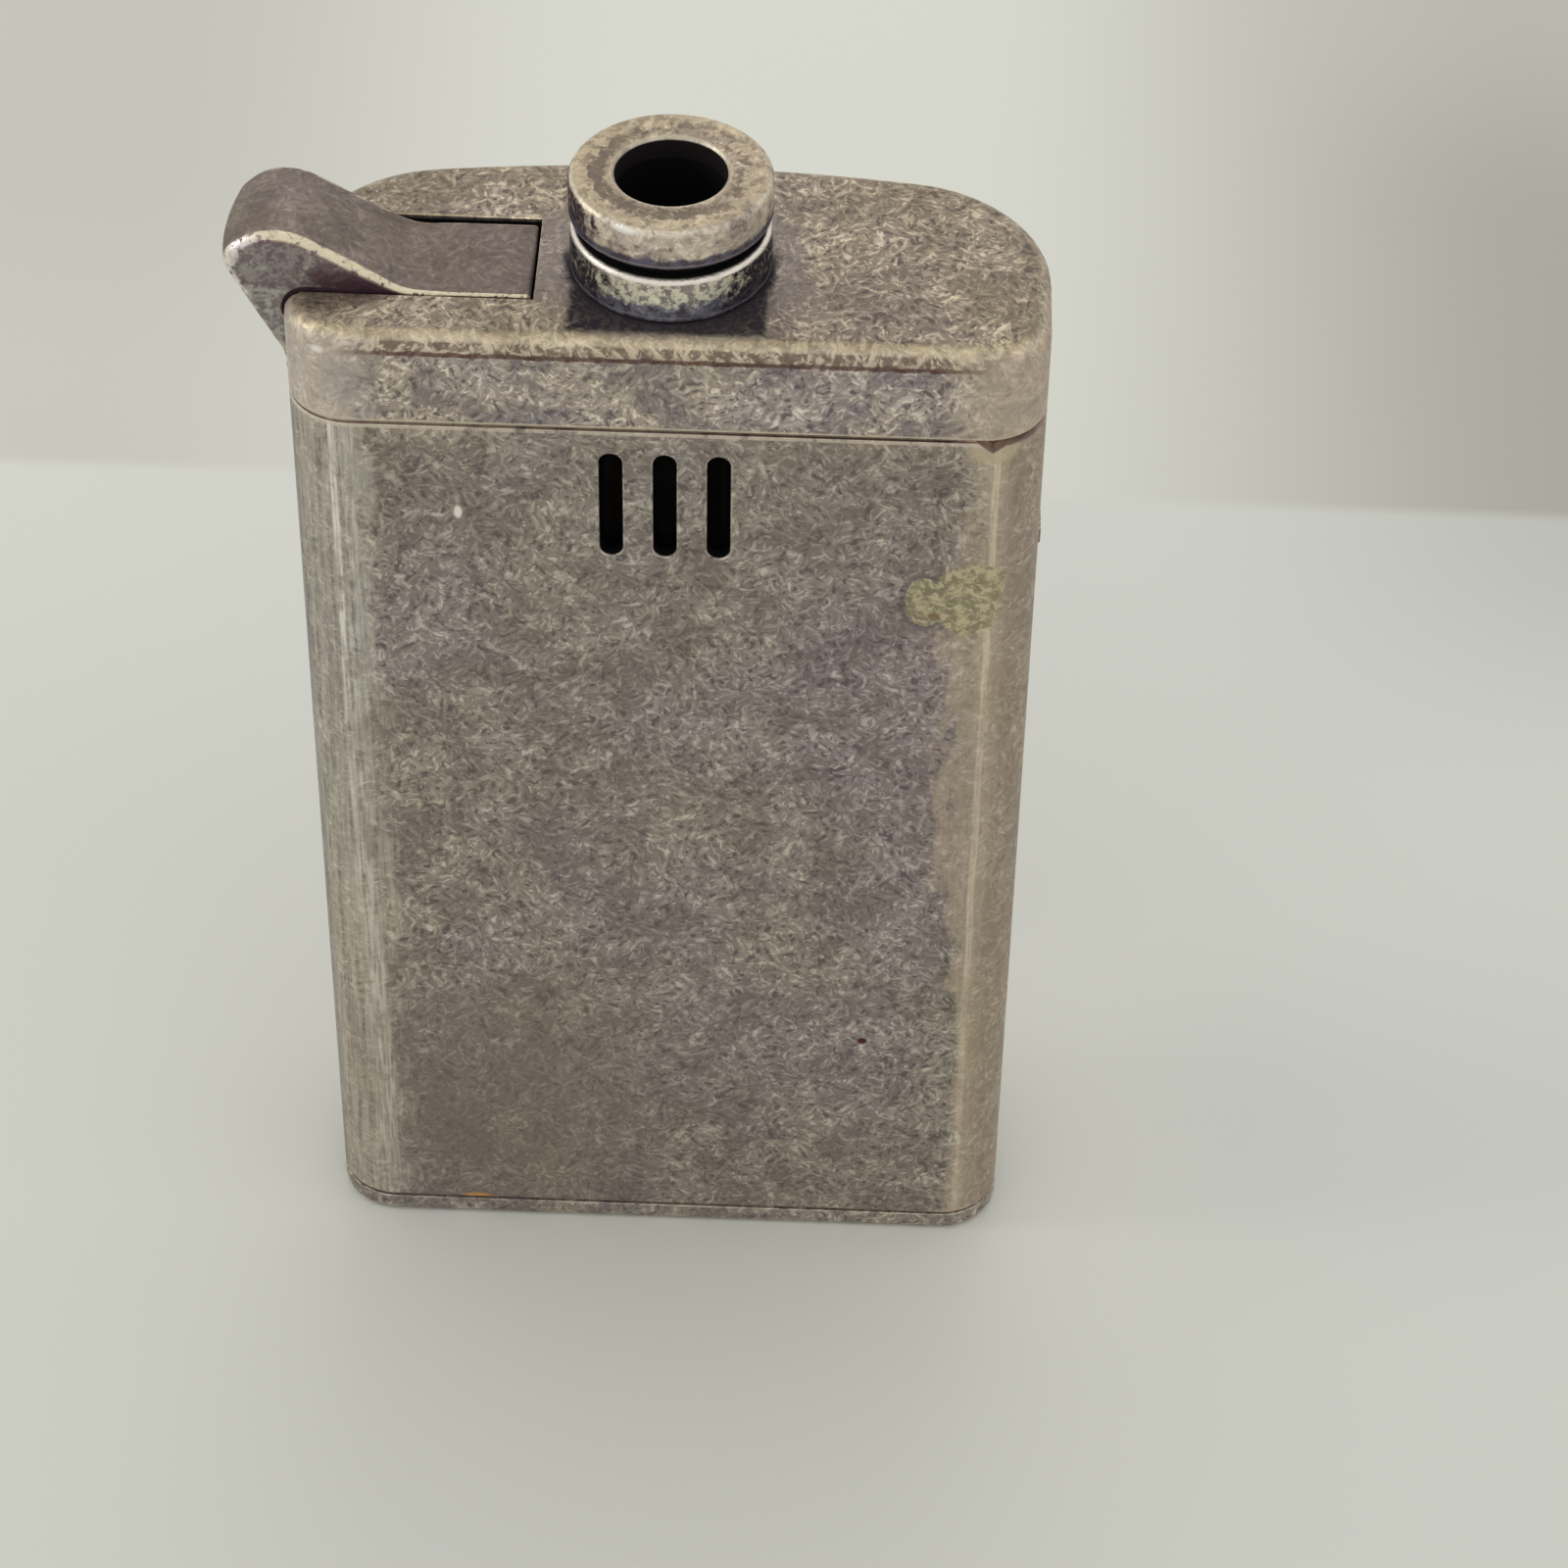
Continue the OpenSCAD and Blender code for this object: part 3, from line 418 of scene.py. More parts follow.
class Coat(SimpleNamespace):
    """A surface's colour in the making, laid on in layers, and the patterns that they follow."""

    def lay(self, share, tone):
        self.surface = blend(share, self.surface, tone)

    def tint(self, share, factors):
        self.lay(share, self.surface * factors)

    def grade(self, share, below, above):
        """Multiplies the colour by below where share is 0 and by above where it is 1."""
        self.surface = self.surface * blend(share, below, above)

    def fade(self, share, kept, added):
        """Keeps so much of the pattern where share is 1, and adds a colour to it."""
        self.lay(share, calculate("MULTIPLY_ADD", self.surface, (kept, kept, kept), added))

    def rub(self, share):
        """Rubs the mottled surface lighter without losing its pattern."""
        self.fade(share, 0.72, toned(self.ink.worn_edge, 0.34))


# ---- finishes ----


def aged_silver(name, edge="z", level=1.0, busy=1.0, wear=1.0, marks=None):
    """Tarnished silver: light broken strokes over dark gaps, in cloudy patches, with rubbed edges.

    edge names the direction whose rounded edges are rubbed, level scales the tarnish, busy the
    strength of its strokes, wear the rubbed edges, and marks adds the marks of one piece.
    """
    ink = bpy.context.scene.lighter_colours
    material, point, normal = shader(name, 0.85)
    turn = normal.parts()
    bent = point + (point.noise(1.6, coloured=True) - GREY) * 0.4
    cloud = point.noise(0.42, 3.0, 0.6)
    grain = bent.noise(1.35, 3.0, 0.62)
    fine = point.noise(5.0, 2.0, 0.6)
    long = strokes(bent, normal, 0.8, 0.95, 0.31)
    middle = strokes(bent - (3.1, 7.7, 1.3), normal, 1.1, 0.7, 0.25)
    short = strokes(bent - (9.4, 2.2, 5.8), normal, 1.6, 0.45, 0.22)
    drawn = long.step(0.53, 0.71).most(middle.step(0.54, 0.72), short.step(0.56, 0.74))

    tarnish = blend(cloud.step(0.36, 0.64), toned(ink.patina_dark, level),
                    toned(ink.patina_mid, level))
    coat = Coat(surface=tarnish, ink=ink, point=point, place=point.parts(), turn=turn,
                cloud=cloud, grain=grain, drawn=drawn)
    holes = (long + middle + grain * 0.8).step(1.32, 1.08)
    coat.lay(holes * (0.85 * busy), toned(ink.patina_gap, level))
    lines = drawn * (0.4 + cloud.step(0.36, 0.62) * 0.6) * busy
    coat.lay(lines, blend(grain.step(0.42, 0.62), toned(ink.fleck_dull, level),
                          toned(ink.fleck_light, level)))
    coat.grade(point.noise(0.1).step(0.4, 0.6), (0.99, 0.975, 1.02), (1.01, 1.0, 0.965))

    ragged = grain * 0.7 + cloud * 0.5
    edges = rounded_share(getattr(turn, edge)).step(0.15, 0.75)
    coat.rubbed = edges * ragged.step(0.5, 0.68) * wear
    coat.lay(coat.rubbed * 0.85, ink.worn_edge)
    if marks:
        marks(coat)

    bare = calculate("DOT_PRODUCT", coat.surface, (0.3, 0.6, 0.1)).step(0.015, 0.085)
    dull = 0.8 + grain * 0.14 + cloud * 0.08 + bare * -0.3
    return finished(
        material, drawn * 0.6 + fine * 0.2 + holes * -0.4, 0.016, Base_Color=coat.surface,
        Metallic=bare * 0.85, Specular_IOR_Level=0.12 + bare * 0.38,
        Roughness=dull - (coat.rubbed * 0.3 + lines * 0.1))


def case_marks(coat):
    """Rubbed bands with painted highlight lines by the front corners, a brown and a purple cloud,
    and the marks on the front.
    """
    ink, point, turn, grain, drawn = coat.ink, coat.point, coat.turn, coat.grain, coat.drawn
    x, y, z = coat.place
    facing = turn.y.step(-0.25, -0.8)
    wobble = (point.noise(1.1) - 0.5) * 0.7
    torn = (point * (1, 1, 0.45)).noise(0.8, 4.0, 0.66)

    brown = point.spot((-9, FRONT_Y, 9.5), (9, 9, 10), 0.5, wobble) * facing
    coat.lay(brown * 0.5, (0.255, 0.205, 0.165))
    purple = point.spot((10.5, FRONT_Y, 42), (6, 9, 15), 0.6, wobble) * facing
    coat.tint(purple, (0.98, 0.95, 1.01))
    below_seam = (z + torn * 5.0).step(SEAM_Z + 0.2, SEAM_Z + 2.0)
    coat.rub(below_seam * facing * (0.25 + drawn * 0.4))

    # both bands: torn edges, streaks drawn out upwards, and lines that sway: a soft pinkish one and
    # painted highlight lines
    edge_x = x + (torn - 0.5) * 5.0
    streaked = (point * (3.0, 3.0, 0.13)).noise(1.0, 3.0, 0.62).step(0.38, 0.58)
    fine_streaks = (point * (5.0, 5.0, 0.3)).noise(1.0).step(0.42, 0.6)
    forward = y.step(1.0, -4.5)
    sway = ((point * (0, 0, 0.12)).noise(1.0) - 0.5) * 1.6
    line_x = x + sway * 0.3

    # left band
    pinkish = (0.76, 0.685, 0.62)
    streaks = 0.25 + streaked * 0.6 + fine_streaks * 0.35
    left = edge_x.step(1.5 - CORNER_X, 0.1 - CORNER_X) * streaks * forward
    coat.rub(left * (0.8 + grain))
    coat.lay(left * (1.0 - fine_streaks) * 0.38, ink.patina_dark)
    coat.lay(left * (0.06 + streaked * grain * 0.3), pinkish)
    soft_line = (x + sway).between(-17.2, -16.6, 0.4) * torn.step(0.4, 0.6)
    coat.lay(soft_line * (0.15 + fine_streaks * 0.5) * forward, pinkish)
    upper_part = z.step(24, 36)
    coat.tint(left * upper_part, (0.965, 0.995, 1.035))
    # a painted highlight along the left rounded corner, brightest high up
    left_highlight_line = line_x.between(-17.66, -17.42, 0.14) * torn.step(0.34, 0.48)
    highest = 0.55 + z.step(40, 52) * 0.45
    coat.lay(left_highlight_line * (0.45 + fine_streaks * 0.45) * upper_part * highest, (0.93, 0.87, 0.80))
    coat.tint(x.step(-19.3, -19.75) * forward, (0.74, 0.75, 0.79))
    coat.rubbed = coat.rubbed.most(left * 0.4)

    # right band, narrower at both ends and weaker outside its line
    inner_x = edge_x - (z.step(44, 62) * 1.3 + z.step(31, 21) * 1.8)
    outer_share = 0.28 + x.step(18.7, 17.7) * 0.72
    right = inner_x.step(CORNER_X - 1.9, CORNER_X - 0.9) * outer_share * forward
    streaky = 0.35 + streaked * 0.45 + fine_streaks * 0.4
    coat.rub(right * streaky * (0.6 + x.step(16.6, 17.4) * 0.4))
    coat.lay(right * (0.34 - drawn * 0.12), (0.64, 0.51, 0.36))
    coat.lay(x.step(17.5, 18.5) * forward * 0.3, (0.47, 0.355, 0.245))
    # a painted highlight along the right rounded corner
    right_highlight_line = line_x.between(17.32, 17.54, 0.14) * forward * (0.15 + streaked * 0.35)
    coat.lay(right_highlight_line * (0.4 + z.step(14, 26) * 0.6), (0.93, 0.80, 0.61))

    # the olive stain: three lobes with a dark outline
    torn_rim = (point.noise(2.2, 3.0) - 0.5) * 0.5
    lobes = (((16.3, FRONT_Y, 50.85), (1.85, 3.0, 2.45)), ((17.1, FRONT_Y, 51.9), (1.3, 3.0, 1.4)),
             ((13.95, FRONT_Y, 50.7), (1.05, 3.0, 1.7)))

    def blot(grown_by, soft):
        first, *others = [point.spot(place, tuple(value + grown_by for value in radii), soft,
                                     torn_rim) for place, radii in lobes]
        return first.most(*others)

    stain = blot(0, 0.05) * x.step(18.25, 18.1)
    coat.lay(x.step(16, 14.5) * (1.0 - stain) * blot(0.3, 0.12) * facing * 0.5,
             (0.13, 0.085, 0.095))
    dried = blend((grain + drawn * 0.2).step(0.44, 0.68), toned(ink.stain, 0.55),
                  toned(ink.stain, 1.06))
    coat.lay(stain * y.step(FRONT_Y + 2, FRONT_Y + 1) * 0.85, dried)

    # specks: below the stain, low on the right, and the chip at the left
    for place, radii, share, tone in (
            ((14.5, FRONT_Y, 49.7), (0.32, 2, 0.28), 0.8, (0.22, 0.14, 0.08)),
            ((11.53, FRONT_Y, 16.41), (0.26, 2, 0.22), 1.0, (0.09, 0.02, 0.015)),
            ((-11.0, FRONT_Y, 55.95), (0.22, 2, 0.42), 0.95, (0.95, 0.88, 0.80)),
            ((-12.1, FRONT_Y, 55.7), (0.34, 2, 0.13), 0.6, (0.80, 0.73, 0.66))):
        coat.lay(point.spot(place, radii, 0.4, wobble) * share, tone)

    # openings: worn rims, and painted shade, near black, inside them
    vents_x = x.between(-VENTS_HALF, VENTS_HALF, 0.3)
    vents_z = z.between(VENTS_LOW, VENTS_HIGH, 0.3)
    inside = y.step(FRONT_Y + 0.04, FRONT_Y + 0.16) * vents_x * vents_z
    inside = inside * y.step(FRONT_Y + 1.5, FRONT_Y + 1.2)
    slot = y.between(SLOT_LOW_Y - 0.03, SLOT_HIGH_Y + 0.03, 0.05)
    slot = slot * x.step(3 - HALF_W, 2 - HALF_W) * z.step(57.5, 58.5)
    slot = slot * abs(turn.x).step(0.9, 0.6)
    rims = turn.y.between(-0.95, -0.3, 0.04) * vents_x * vents_z * grain.step(0.4, 0.6)
    coat.lay(rims * 0.7, (0.66, 0.56, 0.52))
    coat.lay(inside.most(slot), SOOT_AND_SHADE)

    # seams: a nick at the upper right, a worn rim, grime in both gaps and a rust spot below
    ledge = turn.z.step(0.7, 0.9) * z.step(SEAM_Z - 1.1, SEAM_Z - 0.9)
    ledge = ledge * (0.25 + x.step(-12, 10) * 0.7)
    gap = ledge.most(z.step(SEAM_Z - 0.2, SEAM_Z - 0.08), z.step(CASE_LOW.z + 0.16, CASE_LOW.z))
    nick = point.spot((17.2, FRONT_Y, SEAM_Z - 0.65), (1.3, 3, 0.9), 0.3, wobble) * 0.75
    coat.lay(nick * facing, (0.60, 0.52, 0.37))
    rim = z.between(SEAM_Z - 0.4, SEAM_Z - 0.2, 0.06) * torn.step(0.36, 0.5)
    coat.lay(rim * forward * 0.7, (0.72, 0.63, 0.52))
    right_corner = x.step(CORNER_X - 2, CORNER_X) * y.step(1, -2)
    coat.lay(gap * 0.85, blend(right_corner, ink.grime, (0.72, 0.54, 0.51)))
    rust = point.spot((-11.6, FRONT_Y, 1.62), (0.8, 2, 0.2), 0.5)
    coat.lay(rust * 0.9, (0.75, 0.38, 0.12))


def cover_marks(coat):
    """Yellow and brown rubbing on the rounded edge, a dark halo round the neck, and painted light
    and shade: a top darker than the front, a corner highlight, a shadow and a dark reflection at
    the neck, and a black slot and underside.
    """
    point, turn, cloud, grain, drawn = coat.point, coat.turn, coat.cloud, coat.grain, coat.drawn
    x, y, z = coat.place
    facing = turn.y.step(-0.15, -0.5)
    patchy = (grain + drawn * 0.25).step(0.46, 0.7)
    level_face = turn.z.step(0.7, 0.95)
    # painted shade: the flat top darker than the front, and yellower
    coat.grade(level_face, (0.975, 0.965, 0.955), (0.625, 0.59, 0.515))

    # the rounded edge: yellowed above, mottled below, with a broken line, rubbed tan corners and a
    # painted highlight on the left corner
    upper = turn.z.between(0.62, 0.9, 0.08) * (0.6 + patchy * 0.4)
    coat.fade(upper * (0.35 + facing * 0.65), 0.5, (0.365, 0.30, 0.182))
    mottled = blend(patchy, (0.21, 0.145, 0.105), (0.60, 0.50, 0.36))
    coat.lay(turn.z.between(0.2, 0.55, 0.12) * (0.3 + facing * 0.5), mottled)
    line = (z + grain * 0.35).between(TOP_Z - 1.06, TOP_Z - 0.88, 0.09) * facing
    line = line * abs(x).step(CORNER_X + 0.9, CORNER_X - 0.4)
    coat.lay(line * (0.3 + grain), (0.13, 0.06, 0.045))
    blue = cloud.step(0.5, 0.4) * turn.z.step(0.3, 0.1) * facing
    coat.tint(blue * 0.6, (0.78, 0.81, 0.94))
    seam_edge = z.between(SEAM_Z - 0.02, SEAM_Z + 0.13, 0.06)
    coat.lay(seam_edge * (0.3 + grain), coat.ink.worn_edge)
    corner = (abs(x) + grain * 2.6).step(CORNER_X - 1.4, CORNER_X + 2.2)
    corner = corner * y.step(0, -4) * turn.z.step(0.8, 0.5)
    tan = blend(x.step(-5, 5), (0.66, 0.59, 0.515), (0.64, 0.53, 0.415))
    coat.lay(corner * (0.3 + grain * 0.6), tan)
    # a painted highlight, near white, on the left corner
    highlight_spot = point.spot((-17.92, -7.4, TOP_Z - 1.25), (0.42, 0.8, 0.26), 0.3)
    coat.lay(highlight_spot * 0.8, (0.96, 0.92, 0.87))

    # round the neck: a soft halo, a painted shadow at its foot and a painted dark reflection of the
    # collar in front of it
    away = axis_distance(point)
    coat.lay((away + cloud * 2.4).step(9.6, 7.2) * level_face * 0.55, (0.27, 0.235, 0.22))
    ragged = (grain - 0.5) * 1.4
    ring = (away + ragged).step(5.9, 5.35) * y.step(AXIS.y + 4, AXIS.y - 1)
    before = abs(x + ragged * 0.15).step(5.35, 4.95) * y.step(AXIS.y + 0.5, AXIS.y - 1.0)
    before = before * (1.0 + drawn * -0.25)
    behind_edge = (y + ragged * 0.3).step(FRONT_Y + 0.8, FRONT_Y + 1.2)
    coat.lay(ring.most(before) * behind_edge * 0.96, (0.022, 0.015, 0.022))

    # painted shade, near black, inside the slot and under the cover
    outward = x * turn.x + y * turn.y
    slot = y.between(SLOT_LOW_Y - 0.03, SLOT_HIGH_Y + 0.03, 0.03)
    slot = slot * x.step(SLOT_END_X + 0.1, SLOT_END_X) * z.step(TOP_Z - 0.12, TOP_Z - 0.35)
    slot = slot * outward.step(6.0, 3.0)
    inner = z.step(TOP_Z - 1.0, TOP_Z - 1.15) * outward.step(2.5, 1.0)
    inner = inner * abs(y).step(-FRONT_Y - 0.9, -FRONT_Y - 1.2)
    inner = inner * abs(x).step(HALF_W - 0.9, HALF_W - 1.1)
    coat.lay(slot.most(inner), SOOT_AND_SHADE)


def lever_marks(coat):
    """Mottled side face with purple grime towards the slot and under the worn edge, painted shade
    at the slot and a painted highlight on the nose.
    """
    point, turn, grain = coat.point, coat.turn, coat.grain
    x, _, z = coat.place
    facing = turn.y.step(-0.6, -0.95)
    coat.grade(x.step(-17, -11.5), (1.05, 1.0, 0.96), (0.86, 0.79, 0.75))
    mottle = point.noise(2.1, 4.0, 0.7).step(0.42, 0.6)
    coat.lay(facing * 0.85, blend(mottle, (0.235, 0.205, 0.21), (0.50, 0.48, 0.43)))

    wobble = (point.noise(1.3, 3.0) - 0.5) * 1.6
    reddish = point.spot((-16.6, LEVER_LOW.y, TOP_Z + 0.75), (2.3, 1, 0.62), 0.25, wobble)
    coat.lay(facing * reddish * 0.75, (0.11, 0.055, 0.07))
    # painted shade, near black, where the lever meets the slot: a pool and a band along the cover's
    # edge
    shade_pool = point.spot((-15.6, LEVER_LOW.y, TOP_Z + 0.3), (2.4, 1, 0.42), 0.3, wobble)
    past_corner = calculate("MINIMUM", x + (HALF_W - 1.2), 0.0)
    edge_shade = joined(past_corner, 0.0, z - (TOP_Z - 1.2)).length().between(0.9, 1.36, 0.09)
    coat.lay(facing * (shade_pool * 0.9).most(edge_shade), (0.03, 0.014, 0.02))
    crease = turn.y.between(-0.995, -0.93, 0.01) * z.step(TOP_Z - 0.2, TOP_Z + 0.3)
    coat.lay(crease * grain.step(0.36, 0.5) * 0.7, (0.13, 0.06, 0.085))

    # the worn front edge, lighter and pinker on the nose as a painted highlight, and a painted
    # highlight on the nose's left end
    specks = point.noise(3.2)
    strip = (turn.y * -1.0).between(0.28, 0.9, 0.1) * specks.step(0.62, 0.52)
    strip = strip * z.step(TOP_Z - 0.6, TOP_Z - 0.3)
    nose_highlight = (x + (z - (TOP_Z + 2)) * -0.42 + specks * 0.8).step(-21.7, -22.05)
    coat.lay(facing * nose_highlight * 0.8, (0.78, 0.71, 0.68))
    worn = blend(x.step(-20.9, -21.8), (0.80, 0.71, 0.51), (0.86, 0.79, 0.75))
    coat.lay(strip * 0.85, worn)
    coat.rubbed = coat.rubbed.most(strip)
    # painted shade, near black, on the part inside the slot
    coat.lay(z.step(TOP_Z - 0.15, TOP_Z - 0.5) * x.step(-19.5, -19.0), toned(SOOT_AND_SHADE, 2))


def collar_marks(coat):
    """Mottled silver in front, a painted dark reflection on the sides, blue-black tarnish at the
    foot, painted shade in the groove, and the groove's rim, worn and with a painted highlight.
    """
    point, turn, grain, drawn = coat.point, coat.turn, coat.grain, coat.drawn
    z = coat.place.z
    patch = point.noise(2.1, 4.0, 0.68)
    coat.lay(0.75, blend(patch.step(0.43, 0.55), (0.30, 0.27, 0.25), (0.90, 0.86, 0.68)))
    foot = (z + (patch - 0.5) * 2.2).step(TOP_Z + 1.45, TOP_Z + 0.75)
    coat.lay(foot * 0.88, blend(grain.step(0.42, 0.6), (0.06, 0.055, 0.09), (0.22, 0.22, 0.29)))
    # a painted dark reflection on the collar's left and right sides
    sides = (abs(turn.x + 0.04) + (grain - 0.5) * 1.5).step(0.54, 0.76)
    coat.lay(sides * (1.0 - drawn * 0.35), (0.02, 0.013, 0.018))
    coat.lay(z.between(TOP_Z + 0.3, TOP_Z + 0.36, 0.05) * 0.4, (0.45, 0.44, 0.48))
    # near black inside the groove and bore and along the foot: painted shade, with soot in the bore
    inner = axis_distance(point).step(5.12, 4.98)
    coat.lay(inner.most(z.step(TOP_Z + 0.2, TOP_Z + 0.08)), SOOT_AND_SHADE)
    # the rim: rubbed, and a painted highlight line
    rim = abs(z - (TOP_Z + 2.56)).between(-1, 0.08, 0.08) * (1.0 - inner)
    coat.lay(rim * (0.35 + grain * 1.2), (0.86, 0.78, 0.70))
    coat.rubbed = coat.rubbed.most(rim * 0.9)


def ring_marks(coat):
    """Tan and grey patches on top, a painted highlight, painted shade on the top, the left side and
    underneath, a blue-black lower edge painted as a reflection of the groove, and a sooty bore.
    """
    point, turn, cloud, grain, drawn = coat.point, coat.turn, coat.cloud, coat.grain, coat.drawn
    x, y, z = coat.place
    top = turn.z.step(0.8, 0.97)
    patch = point.noise(1.5, 3.0, 0.65)
    ragged = grain - 0.5
    away = axis_distance(point)
    low_z, high_z = RING_LOW.z, RING_HIGH.z

    # painted shade: the top darker than the sides, and yellower
    coat.grade(top, (1.0, 0.98, 0.94), (0.70, 0.645, 0.545))
    outside = (away + patch * 1.2).step(4.3, 5.2)
    coat.lay(top * (0.2 + outside * 0.45), (0.53, 0.445, 0.31))
    spoilt = top * (patch * 0.6 + grain * 0.4).step(0.50, 0.45) * away.step(3.25, 3.6)
    coat.lay(spoilt * (0.7 - outside * 0.25), (0.14, 0.105, 0.08))
    yellow = cloud.step(0.46, 0.54) * (1.0 - top) * grain.step(0.4, 0.55)
    coat.lay(yellow * 0.4, (0.80, 0.73, 0.56))
    arc = (away + ragged * 1.8).between(3.42, 4.2, 0.06) * top
    arc = arc * ((x - AXIS.x) * 0.6 + (y - AXIS.y) * 0.5).step(1.0, -1.2)
    coat.lay(arc * patch.step(0.42, 0.5) * 0.85, (0.145, 0.115, 0.09))
    lip = away.step(3.26, 3.12) * z.step(high_z - 0.3, high_z - 0.2)
    coat.lay(lip * 0.6, (0.54, 0.48, 0.38))

    # painted shade on the left side
    shade = (turn.x + ragged * 0.9).step(-0.58, -0.82) * turn.z.step(0.7, 0.3)
    coat.lay(shade * (1.0 - drawn * 0.4), (0.035, 0.02, 0.027))
    # a painted dark reflection of the groove on the lower edge, blue-black
    low = (z + ragged * 0.7).step(low_z + 0.9, low_z + 0.6)
    blue_black = blend(patch.step(0.45, 0.55), (0.05, 0.04, 0.06), (0.12, 0.105, 0.17))
    coat.lay(low * 0.9, blue_black)
    thin = (z + grain * 0.1).between(low_z + 0.3, low_z + 0.38, 0.05)
    coat.lay(thin * 0.5, (0.42, 0.38, 0.42))
    # a painted highlight, near white, on the outer edge
    highlight_spot = point.spot((AXIS.x - 2.2, AXIS.y - 4.9, high_z - 0.3), (0.65, 0.9, 0.18), 0.35)
    coat.lay(highlight_spot * 0.75, (0.95, 0.92, 0.87))
    coat.rubbed = coat.rubbed.most(highlight_spot)
    # painted shade, near black, under the ring in the groove
    coat.lay(z.step(low_z + 0.06, low_z), SOOT_AND_SHADE)
    bore = away.step(FLAME_R + 0.22, FLAME_R + 0.06) * z.step(high_z - 0.08, high_z - 0.2)
    coat.lay(bore, toned(SOOT_AND_SHADE, 2.4))


def machined(name, tone, rough):
    """Turned or stamped metal: fine tool lines, a dull film and brighter edges."""
    material, point, normal = shader(name, 1.0)
    film = point.noise(0.8, 4.0, 0.6)
    lines = (point * (0.6, 0.6, 14.0)).noise(1.0)
    coat = Coat(surface=blend(film.step(0.35, 0.7), toned(tone, 0.62), tone))
    coat.lay(lines.step(0.45, 0.7) * 0.3, lit(tone, 1.25))
    coat.lay(rounded_share(normal.parts().z).step(0.3, 0.9) * 0.7, lit(tone, 1.4))
    return finished(material, lines * 0.6 + film * 0.4, 0.012, Base_Color=coat.surface,
                    Roughness=rough + film * 0.18 + lines * -0.08)


def moulded(name, tone, rough, depth=0.01, **settings):
    """Moulded or fired material: slightly clouded colour over a fine grain."""
    material, point, _ = shader(name, 0.0, **settings)
    grain = point.noise(7.0)
    clouded = blend(point.noise(0.5, 3.0).step(0.3, 0.7), toned(tone, 0.82), tone)
    return finished(material, grain, depth, Roughness=rough + grain * 0.15,
                    Base_Color=blend(grain.step(0.55, 0.7) * 0.15, clouded, lit(tone, 1.3)))


def fetch(name, build, *args, **settings):
    """The named finish, built the first time that it is asked for."""
    return bpy.data.materials.get(name) or build(name, *args, **settings)


# ---- mesh code ----


def add_object(name, data):
    made = bpy.data.objects.new(name, data)
    bpy.context.scene.collection.objects.link(made)
    return made


def paint(made, material):
    made.data.materials.clear()
    made.data.materials.append(material)


def plain_object(work, name):
    """The mesh in work as an object; work is freed."""
    mesh = bpy.data.meshes.new(name)
    work.to_mesh(mesh)
    work.free()
    return add_object(name, mesh)


def smooth_object(work, name, material):
    """The mesh in work as an object with its finish, smooth but for its sharp edges."""
    made = plain_object(work, name)
    made.data.shade_smooth()
    made.data.set_sharp_from_angle(angle=SMOOTH_ANGLE)
    paint(made, material)
    return made


def modified(made, name, kind, **settings):
    """Adds a modifier with its settings to the object."""
    modifier = made.modifiers.new(name, kind)
    for key, value in settings.items():
        setattr(modifier, key, value)
    return modifier


def settle(made):
    """Turns a piece with modifiers into a plain mesh of its own."""
    graph = bpy.context.evaluated_depsgraph_get()
    mesh = bpy.data.meshes.new_from_object(made.evaluated_get(graph), depsgraph=graph)
    made.modifiers.clear()
    made.data = mesh
    mesh.name = made.name
    return made


def seat(made, node):
    """The finished piece rides on the body of its CAD node and stands for it."""
    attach(made, BODY_OF[node])
    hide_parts(node)


def merged(node):
    """A copy of a CAD node's loose triangles, merged, with each flat stretch as one face."""
    source = frame["nodes"][node].data
    mesh = bpy.data.meshes.new("merged")
    mesh.from_pydata([tuple(vert.co) for vert in source.vertices], [],
                     [tuple(face.vertices) for face in source.polygons])
    work = bmesh.new()
    work.from_mesh(mesh)
    bpy.data.meshes.remove(mesh)
    bmesh.ops.remove_doubles(work, verts=work.verts, dist=MERGE_DISTANCE)
    bmesh.ops.dissolve_limit(work, angle_limit=FLAT_ANGLE, verts=work.verts, edges=work.edges)
    return work


def middle_of(edge):
    return (edge.verts[0].co + edge.verts[1].co) / 2 / MM


def dressed(name, node, material, width, weigh, segments=3, longest=None, cuts=(), shift=None):
    """The CAD node with rounded edges; weigh gives the share of width for an edge's middle, in mm.

    Where the shares change along an edge, longest is the length of the steps in which they do.
    shift moves each corner of the finished mesh, in mm, with the faces cut at the depths in cuts.
    """
    work = merged(node)
    for depth in cuts:
        everything = [*work.verts, *work.edges, *work.faces]
        bmesh.ops.bisect_plane(
            work, geom=everything, plane_co=(0, depth * MM, 0), plane_no=(0, 1, 0))
    if longest:
        for edge in [edge for edge in work.edges if weigh(middle_of(edge)) > HIDDEN]:
            for left in range(math.ceil(edge.calc_length() / MM / longest), 1, -1):
                bmesh.utils.edge_split(edge, edge.verts[0], 1 / left)
    shares = work.edges.layers.float.new("bevel_weight_edge")
    for edge in work.edges:
        if edge.is_manifold and edge.calc_face_angle() > SHARP_ANGLE:
            edge[shares] = weigh(middle_of(edge))
    made = smooth_object(work, name, material)
    modified(made, "rounding", "BEVEL", limit_method="WEIGHT", width=width, segments=segments,
             use_clamp_overlap=False, miter_outer="MITER_SHARP")
    modified(made, "even_shading", "WEIGHTED_NORMAL", keep_sharp=True, weight=80)
    settle(made)
    if shift:
        for vert in made.data.vertices:
            vert.co = shift(vert.co / MM) * MM
    seat(made, node)


